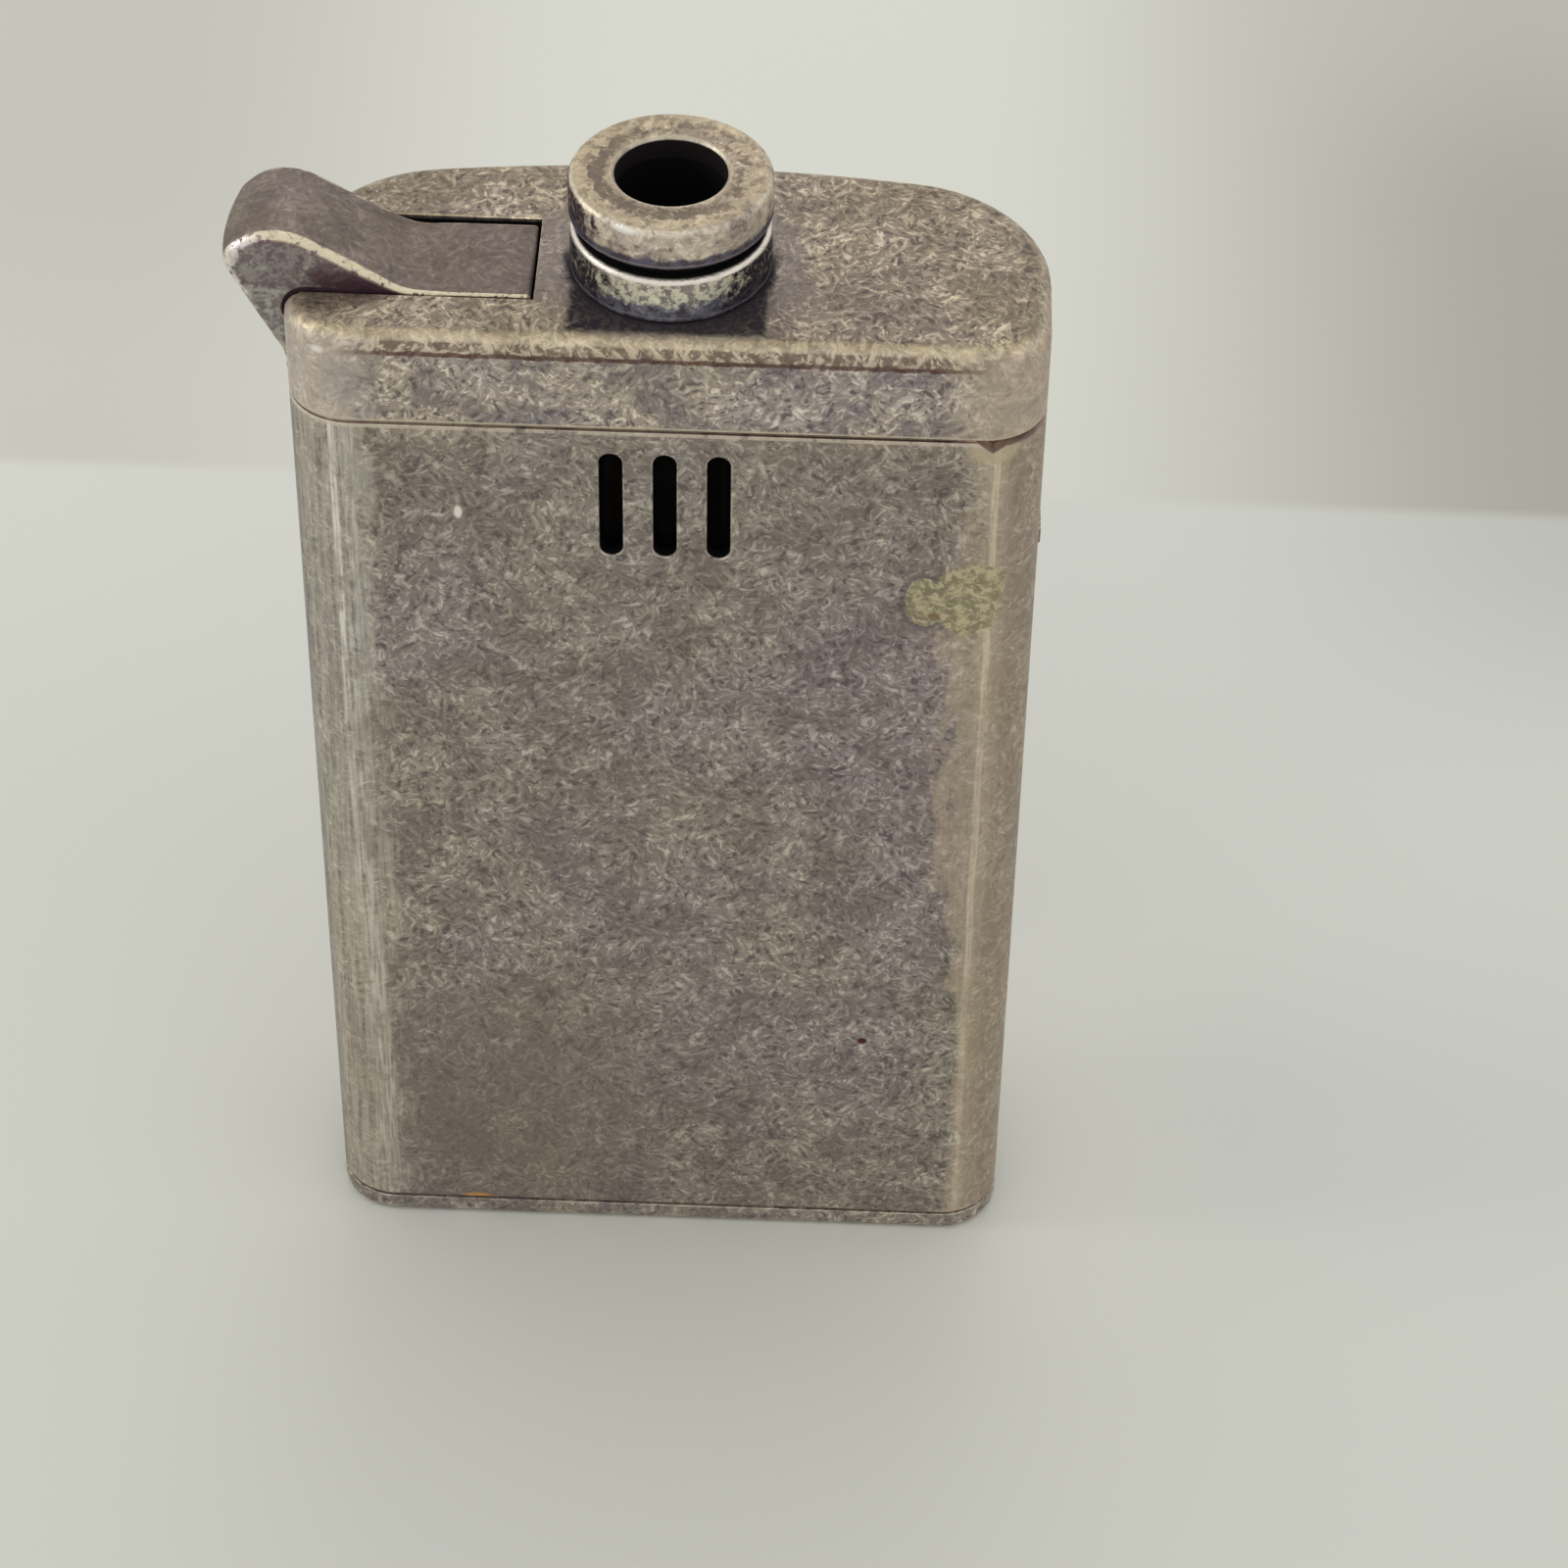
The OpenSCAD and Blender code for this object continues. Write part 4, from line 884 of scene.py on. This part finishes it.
def fillet(points, steps=6):
    """A profile given as (radius, height, rounding), with every corner rounded."""
    result = []
    for i, (r, z, round_by) in enumerate(points):
        here = Vector((r, z))
        if round_by <= 0:
            result.append(here)
            continue
        before = Vector(points[i - 1][:2])
        after = Vector(points[(i + 1) % len(points)][:2])
        u, v = (before - here).normalized(), (after - here).normalized()
        half = u.angle(v) / 2
        longest = 0.48 * min((before - here).length, (after - here).length)
        reach = min(round_by / math.tan(half), longest)
        radius = reach * math.tan(half)
        centre = here + (u + v).normalized() * radius / math.sin(half)
        start, end = here + u * reach - centre, here + v * reach - centre
        turn = start.angle_signed(end)
        for k in range(steps + 1):
            result.append(centre + Matrix.Rotation(-turn * k / steps, 2) @ start)
    return result


def turned(name, profile, centre, material, steps):
    """A part turned on an upright axis from a closed profile of (radius, height) in mm."""
    work = bmesh.new()
    rings = []
    for r, z in profile:
        if r < ON_AXIS:
            rings.append([work.verts.new(Vector((centre.x, centre.y, z)) * MM)] * steps)
            continue
        rings.append([
            work.verts.new(Vector((centre.x + r * math.cos(a), centre.y + r * math.sin(a), z)) * MM)
            for a in (2 * math.pi * k / steps for k in range(steps))])
    for i, low in enumerate(rings):
        high = rings[(i + 1) % len(rings)]
        for k in range(steps):
            corners = (low[k], low[(k + 1) % steps], high[(k + 1) % steps], high[k])
            corners = list(dict.fromkeys(corners))
            if len(corners) > 2:
                work.faces.new(corners)
    bmesh.ops.recalc_face_normals(work, faces=work.faces)
    made = smooth_object(work, name, material)
    modified(made, "even_shading", "WEIGHTED_NORMAL", keep_sharp=True)
    return settle(made)


# ---- node trees that make meshes ----


def ended(tree, geometry, finish):
    """Ends a tree with Set Material."""
    add_node(tree, "NodeGroupOutput", geometry.through("GeometryNodeSetMaterial", Material=finish))
    return tree


def coil_tree():
    """A wire coil whose last part turn lies flat at either end."""
    tree, (centre, mean, wire, height, turns, points, sides, finish) = new_tree(
        "GeometryNodeTree", "coil_spring", ("Coil", "Geometry"),
        (("Centre", "Vector", (0, 0, 0)), ("Mean radius", "Float", 1 * MM),
         ("Wire radius", "Float", 0.2 * MM), ("Height", "Float", 5 * MM),
         ("Turns", "Float", 4.0), ("Points", "Int", 128), ("Sides", "Int", 10),
         ("Finish", "Material")))
    share = Value(add_node(tree, "GeometryNodeInputIndex").outputs[0]) / (points - 1.0)
    angle = share * turns * (2 * math.pi)
    flat = 0.75 / turns
    rise = share.node("ShaderNodeMapRange", share, flat, 1.0 - flat, 0.0, 1.0, clamp=True)
    place = joined(calculate("COSINE", angle) * mean, calculate("SINE", angle) * mean,
                   rise * height)
    line = points.through("GeometryNodeMeshLine")
    line = line.through("GeometryNodeSetPosition", Position=place + centre)
    ring = sides.through("GeometryNodeCurvePrimitiveCircle", Radius=wire)
    coil = line.through("GeometryNodeMeshToCurve").through(
        "GeometryNodeCurveToMesh", Profile_Curve=ring, Fill_Caps=True)
    coil = coil.through("GeometryNodeRealizeInstances").through("GeometryNodeSetShadeSmooth")
    return ended(tree, coil, finish)


def scatter_tree():
    """One shape set down on every point of a mesh, turned a different way on each."""
    tree, (places, shape, turn, seed, finish) = new_tree(
        "GeometryNodeTree", "set_of_screws", ("Screws", "Geometry"),
        (("Places", "Geometry"), ("Screw", "Object"), ("Turn", "Float", 1.0), ("Seed", "Int", 3),
         ("Finish", "Material")))
    chance = add_node(tree, "FunctionNodeRandomValue", data_type="FLOAT")
    sockets = {socket.identifier: socket for socket in (*chance.inputs, *chance.outputs)}
    for key, value in (("Min_001", 0.0), ("Max_001", turn), ("Seed", seed)):
        feed(sockets[key], value)
    about = joined(0.0, 0.0, Value(sockets["Value_001"])).through("FunctionNodeEulerToRotation")
    blank = Value(add_node(tree, "GeometryNodeObjectInfo", shape).outputs["Geometry"])
    spread = places.through("GeometryNodeInstanceOnPoints", Instance=blank, Rotation=about)
    return ended(tree, spread.through("GeometryNodeRealizeInstances"), finish)


def grown(name, node, tree, mesh=None, **values):
    """A piece made by a node tree, in the place of a CAD node."""
    made = add_object(name, mesh or bpy.data.meshes.new(name))
    grow = modified(made, "grow", "NODES", node_group=tree)
    keys = {item.name: item.identifier for item in tree.interface.items_tree
            if item.in_out == "INPUT"}
    for key, value in values.items():
        grow[keys[key.replace("_", " ")]] = value
    settle(made)
    paint(made, values["Finish"])
    seat(made, node)
    return made


def screw(name, profile, slot):
    """A slotted screw about the origin: turned from a profile, with a slot cut across its head."""
    blank = turned(name, fillet(profile, 3), Vector((0, 0, 0)), None, SCREW_STEPS)
    work = bmesh.new()
    size = Matrix.Diagonal((*[value * MM for value in slot], 1))
    bmesh.ops.create_cube(work, size=1.0, matrix=size)
    knife = plain_object(work, "slot_cut")
    modified(blank, "slot", "BOOLEAN", operation="DIFFERENCE", object=knife, solver="EXACT")
    modified(blank, "soft", "BEVEL", limit_method="ANGLE", angle_limit=SCREW_SHARP,
             width=SCREW_EDGE * MM, segments=2)
    settle(blank)
    bpy.data.objects.remove(knife)
    return blank


def set_of_screws(name, node, blank, places, low_z, tree, finish):
    """Sets the blank down at each place, which is (x, y) in mm, and removes it."""
    mesh = bpy.data.meshes.new(name)
    mesh.from_pydata([Vector((x, y, low_z)) * MM for x, y in places], [], [])
    grown(name, node, tree, mesh, Screw=blank, Turn=3.1, Seed=7, Finish=finish)
    bpy.data.objects.remove(blank)


def solid_places(node):
    """Centres of a node's separate solids, seen from above, in mm."""
    work = merged(node)
    places = []
    left = set(work.verts)
    while left:
        group, open_ends = set(), [left.pop()]
        while open_ends:
            vert = open_ends.pop()
            group.add(vert)
            for edge in vert.link_edges:
                other = edge.other_vert(vert)
                if other in left:
                    left.discard(other)
                    open_ends.append(other)
        xs, ys = [vert.co.x for vert in group], [vert.co.y for vert in group]
        places.append(((min(xs) + max(xs)) / 2 / MM, (min(ys) + max(ys)) / 2 / MM))
    work.free()
    return sorted(places)


def outer_wall(at):
    """True on the outside of the case's outline: flat front, round corners and arched back."""
    side = abs(at.x)
    if at.y < FRONT_Y + FRONT_R:
        if side <= CORNER_X:
            return at.y < FRONT_Y + ON_WALL
        return Vector((side - CORNER_X, at.y - FRONT_Y - FRONT_R)).length > FRONT_R - ON_WALL
    if side > HALF_W - ON_WALL:
        return True
    if side > REAR_X:
        return Vector((side - REAR_X, at.y - REAR_Y)).length > REAR_R - ON_WALL
    return at.y > ARCH_Y


# ---- operators, one for each piece or group of like pieces ----


class Piece:
    """What the operators below have in common."""

    bl_options = {"REGISTER", "UNDO"}


class LIGHTER_OT_case(Piece, bpy.types.Operator):
    """Builds the case with its vents, its worn seam corner and the marks on its front"""

    bl_idname = "lighter.case"
    bl_label = "Case"

    def execute(self, context):
        sizes = context.scene.lighter_sizes
        seam = sizes.seam_edge / sizes.opening_edge
        vents_zone, wall, seam_step, seam_rim = 6, 0.5, 1.2, 0.25

        def weigh(at):
            in_front = at.y < FRONT_Y + ON_FACE
            if abs(at.x) < vents_zone and at.y < FRONT_Y + wall and at.z < SEAM_Z - 1:
                return FULL if in_front else HIDDEN
            if at.z < CASE_LOW.z + ON_FACE:
                return seam if outer_wall(at) else HIDDEN
            if at.z > SEAM_Z - seam_step:
                return seam if at.z > SEAM_Z - seam_rim and outer_wall(at) else HIDDEN
            return FULL if in_front or at.x > CASE_HIGH.x - ON_FACE else HIDDEN

        finish = fetch("case_silver", aged_silver, wear=0.5, marks=case_marks)
        dressed("case", "case_shell", finish, sizes.opening_edge, weigh)
        return {"FINISHED"}


class LIGHTER_OT_vent_shade_sheet(Piece, bpy.types.Operator):
    """Presses the near-black sheet behind the air vents that stands in for the shade inside them"""

    bl_idname = "lighter.wind_baffle"
    bl_label = "Wind baffle"

    def execute(self, context):
        half_wide, half_high, middle_z, back_y, thick = 5.6, 4.2, 56.6, FRONT_Y + 0.95, 0.18
        columns, rows = 57, 43
        rib_depth, rib_x, rib_width = 0.16, 3.2, 0.35
        dish_depth, flange_depth, flange_share = 0.3, 0.22, 0.1
        work = bmesh.new()
        grid = []
        for j in range(rows):
            v = 2 * j / (rows - 1) - 1
            grid.append([])
            for i in range(columns):
                u = 2 * i / (columns - 1) - 1
                rib = rib_depth * math.exp(-((abs(u) * half_wide - rib_x) / rib_width) ** 2)
                dish = dish_depth * (1 - u * u) * (1 - v * v)
                flange = flange_depth * max(0, abs(v) - (1 - flange_share)) / flange_share
                y = back_y + dish - rib * (1 - abs(v) ** 6) - flange
                place = Vector((u * half_wide, y, middle_z + v * half_high))
                grid[-1].append(work.verts.new(place * MM))
        for low, high in zip(grid, grid[1:]):
            for i in range(columns - 1):
                work.faces.new((low[i], low[i + 1], high[i + 1], high[i]))
        bmesh.ops.recalc_face_normals(work, faces=work.faces)
        made = smooth_object(
            work, "wind_baffle", fetch("sooty_sheet", machined, toned(SOOT_AND_SHADE, 1.5), 0.6))
        modified(made, "wall", "SOLIDIFY", thickness=thick * MM, offset=0)
        settle(made)
        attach(made, BODY_OF["case_shell"])
        return {"FINISHED"}


class LIGHTER_OT_cover(Piece, bpy.types.Operator):
    """Builds the top cover with the open slot for the thumb lever"""

    bl_idname = "lighter.cover"
    bl_label = "Top cover"

    def execute(self, context):
        sizes = context.scene.lighter_sizes
        seam = sizes.seam_edge / sizes.opening_edge
        slot_rim_x, slot_side_x = -6.9, 1.25 - HALF_W

        def weigh(at):
            if at.z < SEAM_Z + ON_FACE:
                return seam if at.z > SEAM_Z - ON_FACE and outer_wall(at) else HIDDEN
            if at.z > TOP_Z - ON_FACE:
                return FULL if at.x < slot_rim_x else HIDDEN
            by_slot = at.x < slot_side_x and LEVER_LOW.y - 0.5 < at.y < LEVER_HIGH.y + 1
            return SLOT_SIDE if by_slot and outer_wall(at) else HIDDEN

        finish = fetch("cover_silver", aged_silver, level=1.36, busy=1.15, wear=0.3,
                       marks=cover_marks)
        dressed("cover", "top_cover", finish, sizes.opening_edge, weigh)
        return {"FINISHED"}


class LIGHTER_OT_base(Piece, bpy.types.Operator):
    """Builds the base plate"""

    bl_idname = "lighter.base"
    bl_label = "Base plate"

    def execute(self, context):
        seam_low, seam_high = 1.2, 1.4
        dressed("base", "base_plate", fetch("base_silver", aged_silver, level=1.1, wear=0.8),
                context.scene.lighter_sizes.seam_edge,
                lambda at: FULL if seam_low < at.z < seam_high and outer_wall(at) else HIDDEN)
        return {"FINISHED"}


class LIGHTER_OT_neck(Piece, bpy.types.Operator):
    """Turns the collar, the ring above its groove and the wind guard inside them"""

    bl_idname = "lighter.neck"
    bl_label = "Neck"

    def execute(self, context):
        collar_low, collar_high = span("neck_collar")
        guard_low, guard_high = span("wind_guard")
        outer, ring_outer = collar_high.x - AXIS.x, RING_HIGH.x - AXIS.x
        groove, play, lip = 4.5, 0.02, 0.15
        guard = guard_high.x - AXIS.x + play
        groove_z, seat_z, top_z = TOP_Z + 2.7, collar_high.z, RING_HIGH.z
        collar = (
            (FLAME_R, guard_high.z, 0), (FLAME_R, seat_z, 0), (groove, seat_z, 0),
            (groove, groove_z, 0.05), (outer, groove_z, 0.3), (outer, TOP_Z, 0.15),
            (outer - 1, TOP_Z, 0), (outer - 1, collar_low.z, 0.05), (guard, collar_low.z, 0),
            (guard, guard_high.z, 0))
        ring = (
            (groove + play, RING_LOW.z, 0.06), (ring_outer, RING_LOW.z, 0.34),
            (ring_outer, top_z, 0.45), (FLAME_R + lip, top_z, 0.06),
            (FLAME_R, top_z - lip, 0.06), (FLAME_R, seat_z, 0), (groove + play, seat_z, 0))
        for name, node, profile, looks in (
                ("collar", "neck_collar", fillet(collar),
                 {"level": 1.35, "busy": 1.2, "wear": 0.3, "marks": collar_marks}),
                ("ring", "neck_ring", fillet(ring, 8),
                 {"level": 1.5, "busy": 0.9, "wear": 0.6, "marks": ring_marks})):
            finish = fetch(name + "_silver", aged_silver, **looks)
            steps = context.scene.lighter_sizes.turned_steps
            seat(turned(name, profile, AXIS, finish, steps), node)
        dressed("guard", "wind_guard", fetch("sooty_steel", machined, toned(SOOT_AND_SHADE, 6), 0.5),
                0.05 * MM, lambda at: HIDDEN)
        return {"FINISHED"}


class LIGHTER_OT_lever(Piece, bpy.types.Operator):
    """Builds the thumb lever with its worn edges"""

    bl_idname = "lighter.lever"
    bl_label = "Thumb lever"

    def execute(self, context):
        sizes = context.scene.lighter_sizes
        flush = sizes.flush_edge / sizes.nose_edge
        pivot_low, pivot_high = span("lever_pin")
        pivot = (pivot_low + pivot_high) / 2
        hub_r, lowest_z, rise_x, rise_length, tip_x, tip_length = 2, 62.6, -11.5, 5.0, -20.3, 2.9
        deep = LEVER_HIGH.y - LEVER_LOW.y
        middle = LEVER_LOW.y + 0.4 * deep

        def weigh(at):
            if min(abs(at.y - LEVER_LOW.y), abs(at.y - LEVER_HIGH.y)) > ON_FACE:
                return HIDDEN
            if at.z < lowest_z or math.hypot(at.x - pivot.x, at.z - pivot.z) < hub_r:
                return HIDDEN
            rise = min(1.0, max(0.0, (rise_x - at.x) / rise_length))
            return flush + (FULL - flush) * rise

        def shift(at):
            tip = min(1.0, max(0.0, (tip_x - at.x) / tip_length))
            in_front = at.y < middle
            worn = sizes.nose_front if in_front else sizes.nose_back
            reach = (at.y - middle) / ((LEVER_LOW.y if in_front else LEVER_HIGH.y) - middle)
            return at + Vector((worn / MM * tip * tip * (3 - 2 * tip) * reach ** 2, 0, 0))

        cuts = [LEVER_LOW.y + share * deep for share in (0.24, 0.36, 0.48, 0.6, 0.7, 0.8)]
        finish = fetch("lever_silver", aged_silver, edge="y", level=0.66, busy=0.45, wear=1.1,
                       marks=lever_marks)
        dressed("lever", "thumb_lever", finish, sizes.nose_edge, weigh, segments=5, longest=0.3,
                cuts=cuts, shift=shift)
        return {"FINISHED"}


class LIGHTER_OT_adjuster(Piece, bpy.types.Operator):
    """Builds the flame adjuster whose tip shows in its slot at the right side"""

    bl_idname = "lighter.adjuster"
    bl_label = "Flame adjuster"

    def execute(self, context):
        arm_x, arm_half, tip_edge = 6, 1.1, 0.12
        dressed("adjuster", "flame_adjust_lever", fetch("adjuster_silver", aged_silver, level=0.8),
                tip_edge * MM,
                lambda at: FULL if at.x > arm_x and abs(at.y - AXIS.y) < arm_half else HIDDEN)
        return {"FINISHED"}


class LIGHTER_OT_screws(Piece, bpy.types.Operator):
    """Sets down the base screws and the cover screws, each set by one node tree"""

    bl_idname = "lighter.screws"
    bl_label = "Screws"

    def execute(self, context):
        tree = scatter_tree()
        steel = toned(context.scene.lighter_colours.steel, 0.8)
        finish = fetch("screw_steel_finish", machined, steel, 0.34)

        low, high = span("base_screws")
        head, shank, cone, depth = 1.8, 0.95, 0.85, high.z - low.z
        reach = (high.x - low.x) / 2 - head
        blank = screw("base_screw_blank", (
            (0, 0, 0), (head, 0, 0.06), (shank, cone, 0.05), (shank, depth, 0.12), (0, depth, 0)),
            (5, 0.5, 0.8))
        set_of_screws("bottom_screws", "base_screws", blank, [(-reach, AXIS.y), (reach, AXIS.y)],
                      low.z, tree, finish)

        low, high = span("cover_screws")
        head, shank, thick, depth = 1.0, 0.6, 1.0, high.z - low.z
        blank = screw("cover_screw_blank", (
            (0, 0, 0), (head, 0, 0.3), (head, thick, 0.05), (shank, thick, 0.03),
            (shank, depth, 0.1), (0, depth, 0)), (3, 0.4, 0.8))
        set_of_screws("top_screws", "cover_screws", blank, solid_places("cover_screws"), low.z,
                      tree, finish)
        return {"FINISHED"}


class LIGHTER_OT_springs(Piece, bpy.types.Operator):
    """Winds the four coil springs by one node tree"""

    bl_idname = "lighter.springs"
    bl_label = "Coil springs"

    def execute(self, context):
        sizes = context.scene.lighter_sizes
        tree = coil_tree()
        finish = fetch("spring_steel_finish", machined, context.scene.lighter_colours.steel, 0.26)
        for name, node, wire, turns, joint, held_at_top in (
                ("valve_coil", "valve_spring", 0.15, 6, "burner_lift", True),
                ("return_coil", "piezo_return_spring", 0.2, 4, "igniter_press", False),
                ("impact_coil", "impact_spring", 0.2, 16, "igniter_press", False),
                ("refill_coil", "fill_valve_spring", 0.15, 4, "refill_press", True)):
            low, high = span(node)
            mean = (high.x - low.x) / 2 - wire
            centre = Vector(((low.x + high.x) / 2, (low.y + high.y) / 2, low.z + wire)) * MM
            made = grown(
                name, node, tree, Centre=centre, Mean_radius=mean * MM, Wire_radius=wire * MM,
                Height=(high.z - low.z - 2 * wire) * MM, Turns=float(turns),
                Points=int(turns * sizes.coil_steps), Sides=sizes.coil_sides, Finish=finish)
            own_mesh(made)
        return {"FINISHED"}


class LIGHTER_OT_inner_works(Piece, bpy.types.Operator):
    """Gives the igniter, the valves, the tank and the frame their finishes"""

    bl_idname = "lighter.inner_works"
    bl_label = "Inner works"

    def execute(self, context):
        ink = context.scene.lighter_colours
        glassy = {"Transmission_Weight": 0.35}
        for name, build, tone, rough, settings, nodes in (
                ("frame_steel_finish", machined, ink.steel, 0.36, {},
                 ("inner_frame", "piezo_hammer", "spark_electrode")),
                ("pin_steel_finish", machined, toned(ink.steel, 1.1), 0.22, {},
                 ("lever_pin", "fork_pin")),
                ("brass_finish", machined, ink.brass, 0.3, {},
                 ("gas_fork", "gas_feed_tube", "valve_body", "valve_stem", "piezo_anvil",
                  "fill_valve_body", "fill_valve_stem", "valve_nut", "adjuster_cap")),
                ("sooty_brass_finish", machined, toned(ink.brass, 0.12), 0.5, {},
                 ("burner_nozzle",)),
                ("tank_finish", moulded, (0.42, 0.46, 0.48), 0.22, glassy,
                 ("gas_tank", "tank_lid")),
                ("black_plastic_finish", moulded, (0.03, 0.03, 0.032), 0.42, {},
                 ("piezo_housing",)),
                ("white_plastic_finish", moulded, (0.78, 0.76, 0.70), 0.4, {},
                 ("piezo_plunger",)),
                ("ceramic_finish", moulded, (0.84, 0.82, 0.77), 0.5, {"depth": 0.02},
                 ("piezo_crystal", "electrode_insulator")),
                ("rubber_finish", moulded, (0.035, 0.035, 0.035), 0.7, {"depth": 0.02},
                 ("valve_seal", "fill_valve_seal")),
                ("lead_finish", moulded, (0.42, 0.05, 0.04), 0.45, {}, ("electrode_lead",))):
            finish = fetch(name, build, tone, rough, **settings)
            for node in nodes:
                for slot in frame["nodes"][node].material_slots:
                    slot.material = finish
        return {"FINISHED"}


class LIGHTER_OT_stage(Piece, bpy.types.Operator):
    """Sets up the pale floor, the soft light and the camera at the photograph's angle"""

    bl_idname = "lighter.stage"
    bl_label = "Stage"

    def execute(self, context):
        look = context.scene.lighter_stage
        self.floor(look)
        self.light(look)
        self.camera()
        context.scene.view_settings.view_transform = "Standard"
        return {"FINISHED"}

    def floor(self, look):
        """One flat floor, with the wall's tone on its part behind the photograph's fold."""
        work = bmesh.new()
        bmesh.ops.create_grid(
            work, x_segments=FLOOR_STEPS, y_segments=FLOOR_STEPS, size=FLOOR_HALF)
        bmesh.ops.translate(work, verts=work.verts, vec=(0, 0, -FLOOR_DROP))
        made = plain_object(work, "floor")
        material, point, _ = shader("pale_floor", 0.0, Roughness=0.75, Specular_IOR_Level=0.15)
        paint(made, material)
        x, y, _ = point.parts()
        near = tuple(look.floor)
        floor = Coat(surface=near)
        floor.lay(x.step(30, 66) * y.step(30, 62) * 0.75, toned(near, 0.76))
        floor.lay(y.step(20, 58) * x.step(40, -10) * 0.5, toned(near, 1.06))
        # painted light: a lighter patch of floor right of the object
        floor.lay(x.between(16, 20, 18) * y.between(0, 4, 20), toned(near, 1.1))
        wall = Coat(surface=tuple(look.wall))
        wall.lay(x.step(16, 64) * 0.8, (0.34, 0.33, 0.285))
        wall.lay(y.step(96, 128) * x.step(30, 56) * 0.35, (0.64, 0.62, 0.56))
        wall.lay(x.step(-8, -48) * (0.5 + y.step(72, 100) * 0.15), (0.48, 0.465, 0.432))
        floor.lay((y + x * 0.005).step(61.4, 63.2), wall.surface)
        floor.lay(0.02 + (point.noise(0.02) - 0.5) * 0.04, (0.5, 0.5, 0.48))
        feed(material.node_tree.nodes["Principled BSDF"].inputs["Base Color"], floor.surface)

    def light(self, look):
        world = bpy.data.worlds.new("studio")
        world.use_nodes = True
        bpy.context.scene.world = world
        back = world.node_tree.nodes["Background"]
        back.inputs["Color"].default_value = (1.0, 1.0, 0.99, 1)
        back.inputs["Strength"].default_value = look.sky
        for name, place, size, energy, tone in (
                ("window", (-0.42, -0.02, 0.30), 0.16, look.window, (1.0, 0.985, 0.95)),
                ("ceiling", (0.02, 0.42, 0.42), 0.3, look.ceiling, (1.0, 0.99, 0.97))):
            lamp = bpy.data.lights.new(name, "AREA")
            lamp.shape, lamp.size, lamp.energy, lamp.color = "DISK", size, energy, tone
            made = add_object(name, lamp)
            made.location = place
            made.rotation_mode = "QUATERNION"
            made.rotation_quaternion = (LIT_POINT - Vector(place)).to_track_quat("-Z", "Y")

    def camera(self):
        data = bpy.data.cameras.new("photo_camera")
        data.lens, data.sensor_width = CAMERA_LENS, CAMERA_SENSOR
        data.clip_start, data.clip_end = CAMERA_CLIP
        made = add_object("photo_camera", data)
        sideways, downwards = math.sin(CAMERA_YAW), math.cos(CAMERA_DOWN)
        ahead = Vector((sideways * downwards, math.cos(CAMERA_YAW) * downwards,
                        -math.sin(CAMERA_DOWN)))
        right = Vector((math.cos(CAMERA_YAW), -sideways, 0))
        up = right.cross(ahead)
        across = right * math.cos(CAMERA_ROLL) + up * math.sin(CAMERA_ROLL)
        above = -right * math.sin(CAMERA_ROLL) + up * math.cos(CAMERA_ROLL)
        turn = Matrix((across, above, -ahead)).transposed().to_4x4()
        made.matrix_world = Matrix.Translation(Vector(CAMERA_PLACE) * MM) @ turn
        bpy.context.scene.camera = made


PIECES = (
    LIGHTER_OT_case, LIGHTER_OT_vent_shade_sheet, LIGHTER_OT_cover, LIGHTER_OT_base, LIGHTER_OT_neck,
    LIGHTER_OT_lever, LIGHTER_OT_adjuster, LIGHTER_OT_screws, LIGHTER_OT_springs,
    LIGHTER_OT_inner_works, LIGHTER_OT_stage)


class LIGHTER_PT_panel(bpy.types.Panel):
    """Lists the steps in the 3D view's sidebar"""

    bl_label = "Gas lighter"
    bl_space_type = "VIEW_3D"
    bl_region_type = "UI"
    bl_category = "Lighter"

    def draw(self, context):
        for piece in PIECES:
            self.layout.operator(piece.bl_idname)
        for name in GROUPS:
            box = self.layout.box()
            group = getattr(context.scene, name)
            for key in group.__annotations__:
                box.prop(group, key)


GROUPS = {"lighter_sizes": LighterSizes, "lighter_colours": LighterColours,
          "lighter_stage": LighterStage}
CLASSES = (*GROUPS.values(), *PIECES, LIGHTER_PT_panel)


def register():
    for made in CLASSES:
        bpy.utils.register_class(made)
    for name, group in GROUPS.items():
        setattr(bpy.types.Scene, name, bpy.props.PointerProperty(type=group))


def unregister():
    for name in GROUPS:
        delattr(bpy.types.Scene, name)
    for made in reversed(CLASSES):
        bpy.utils.unregister_class(made)


def main():
    register()
    stroke_group()
    for piece in PIECES:
        group, name = piece.bl_idname.split(".")
        getattr(getattr(bpy.ops, group), name)()


if __name__ == "__main__":
    main()
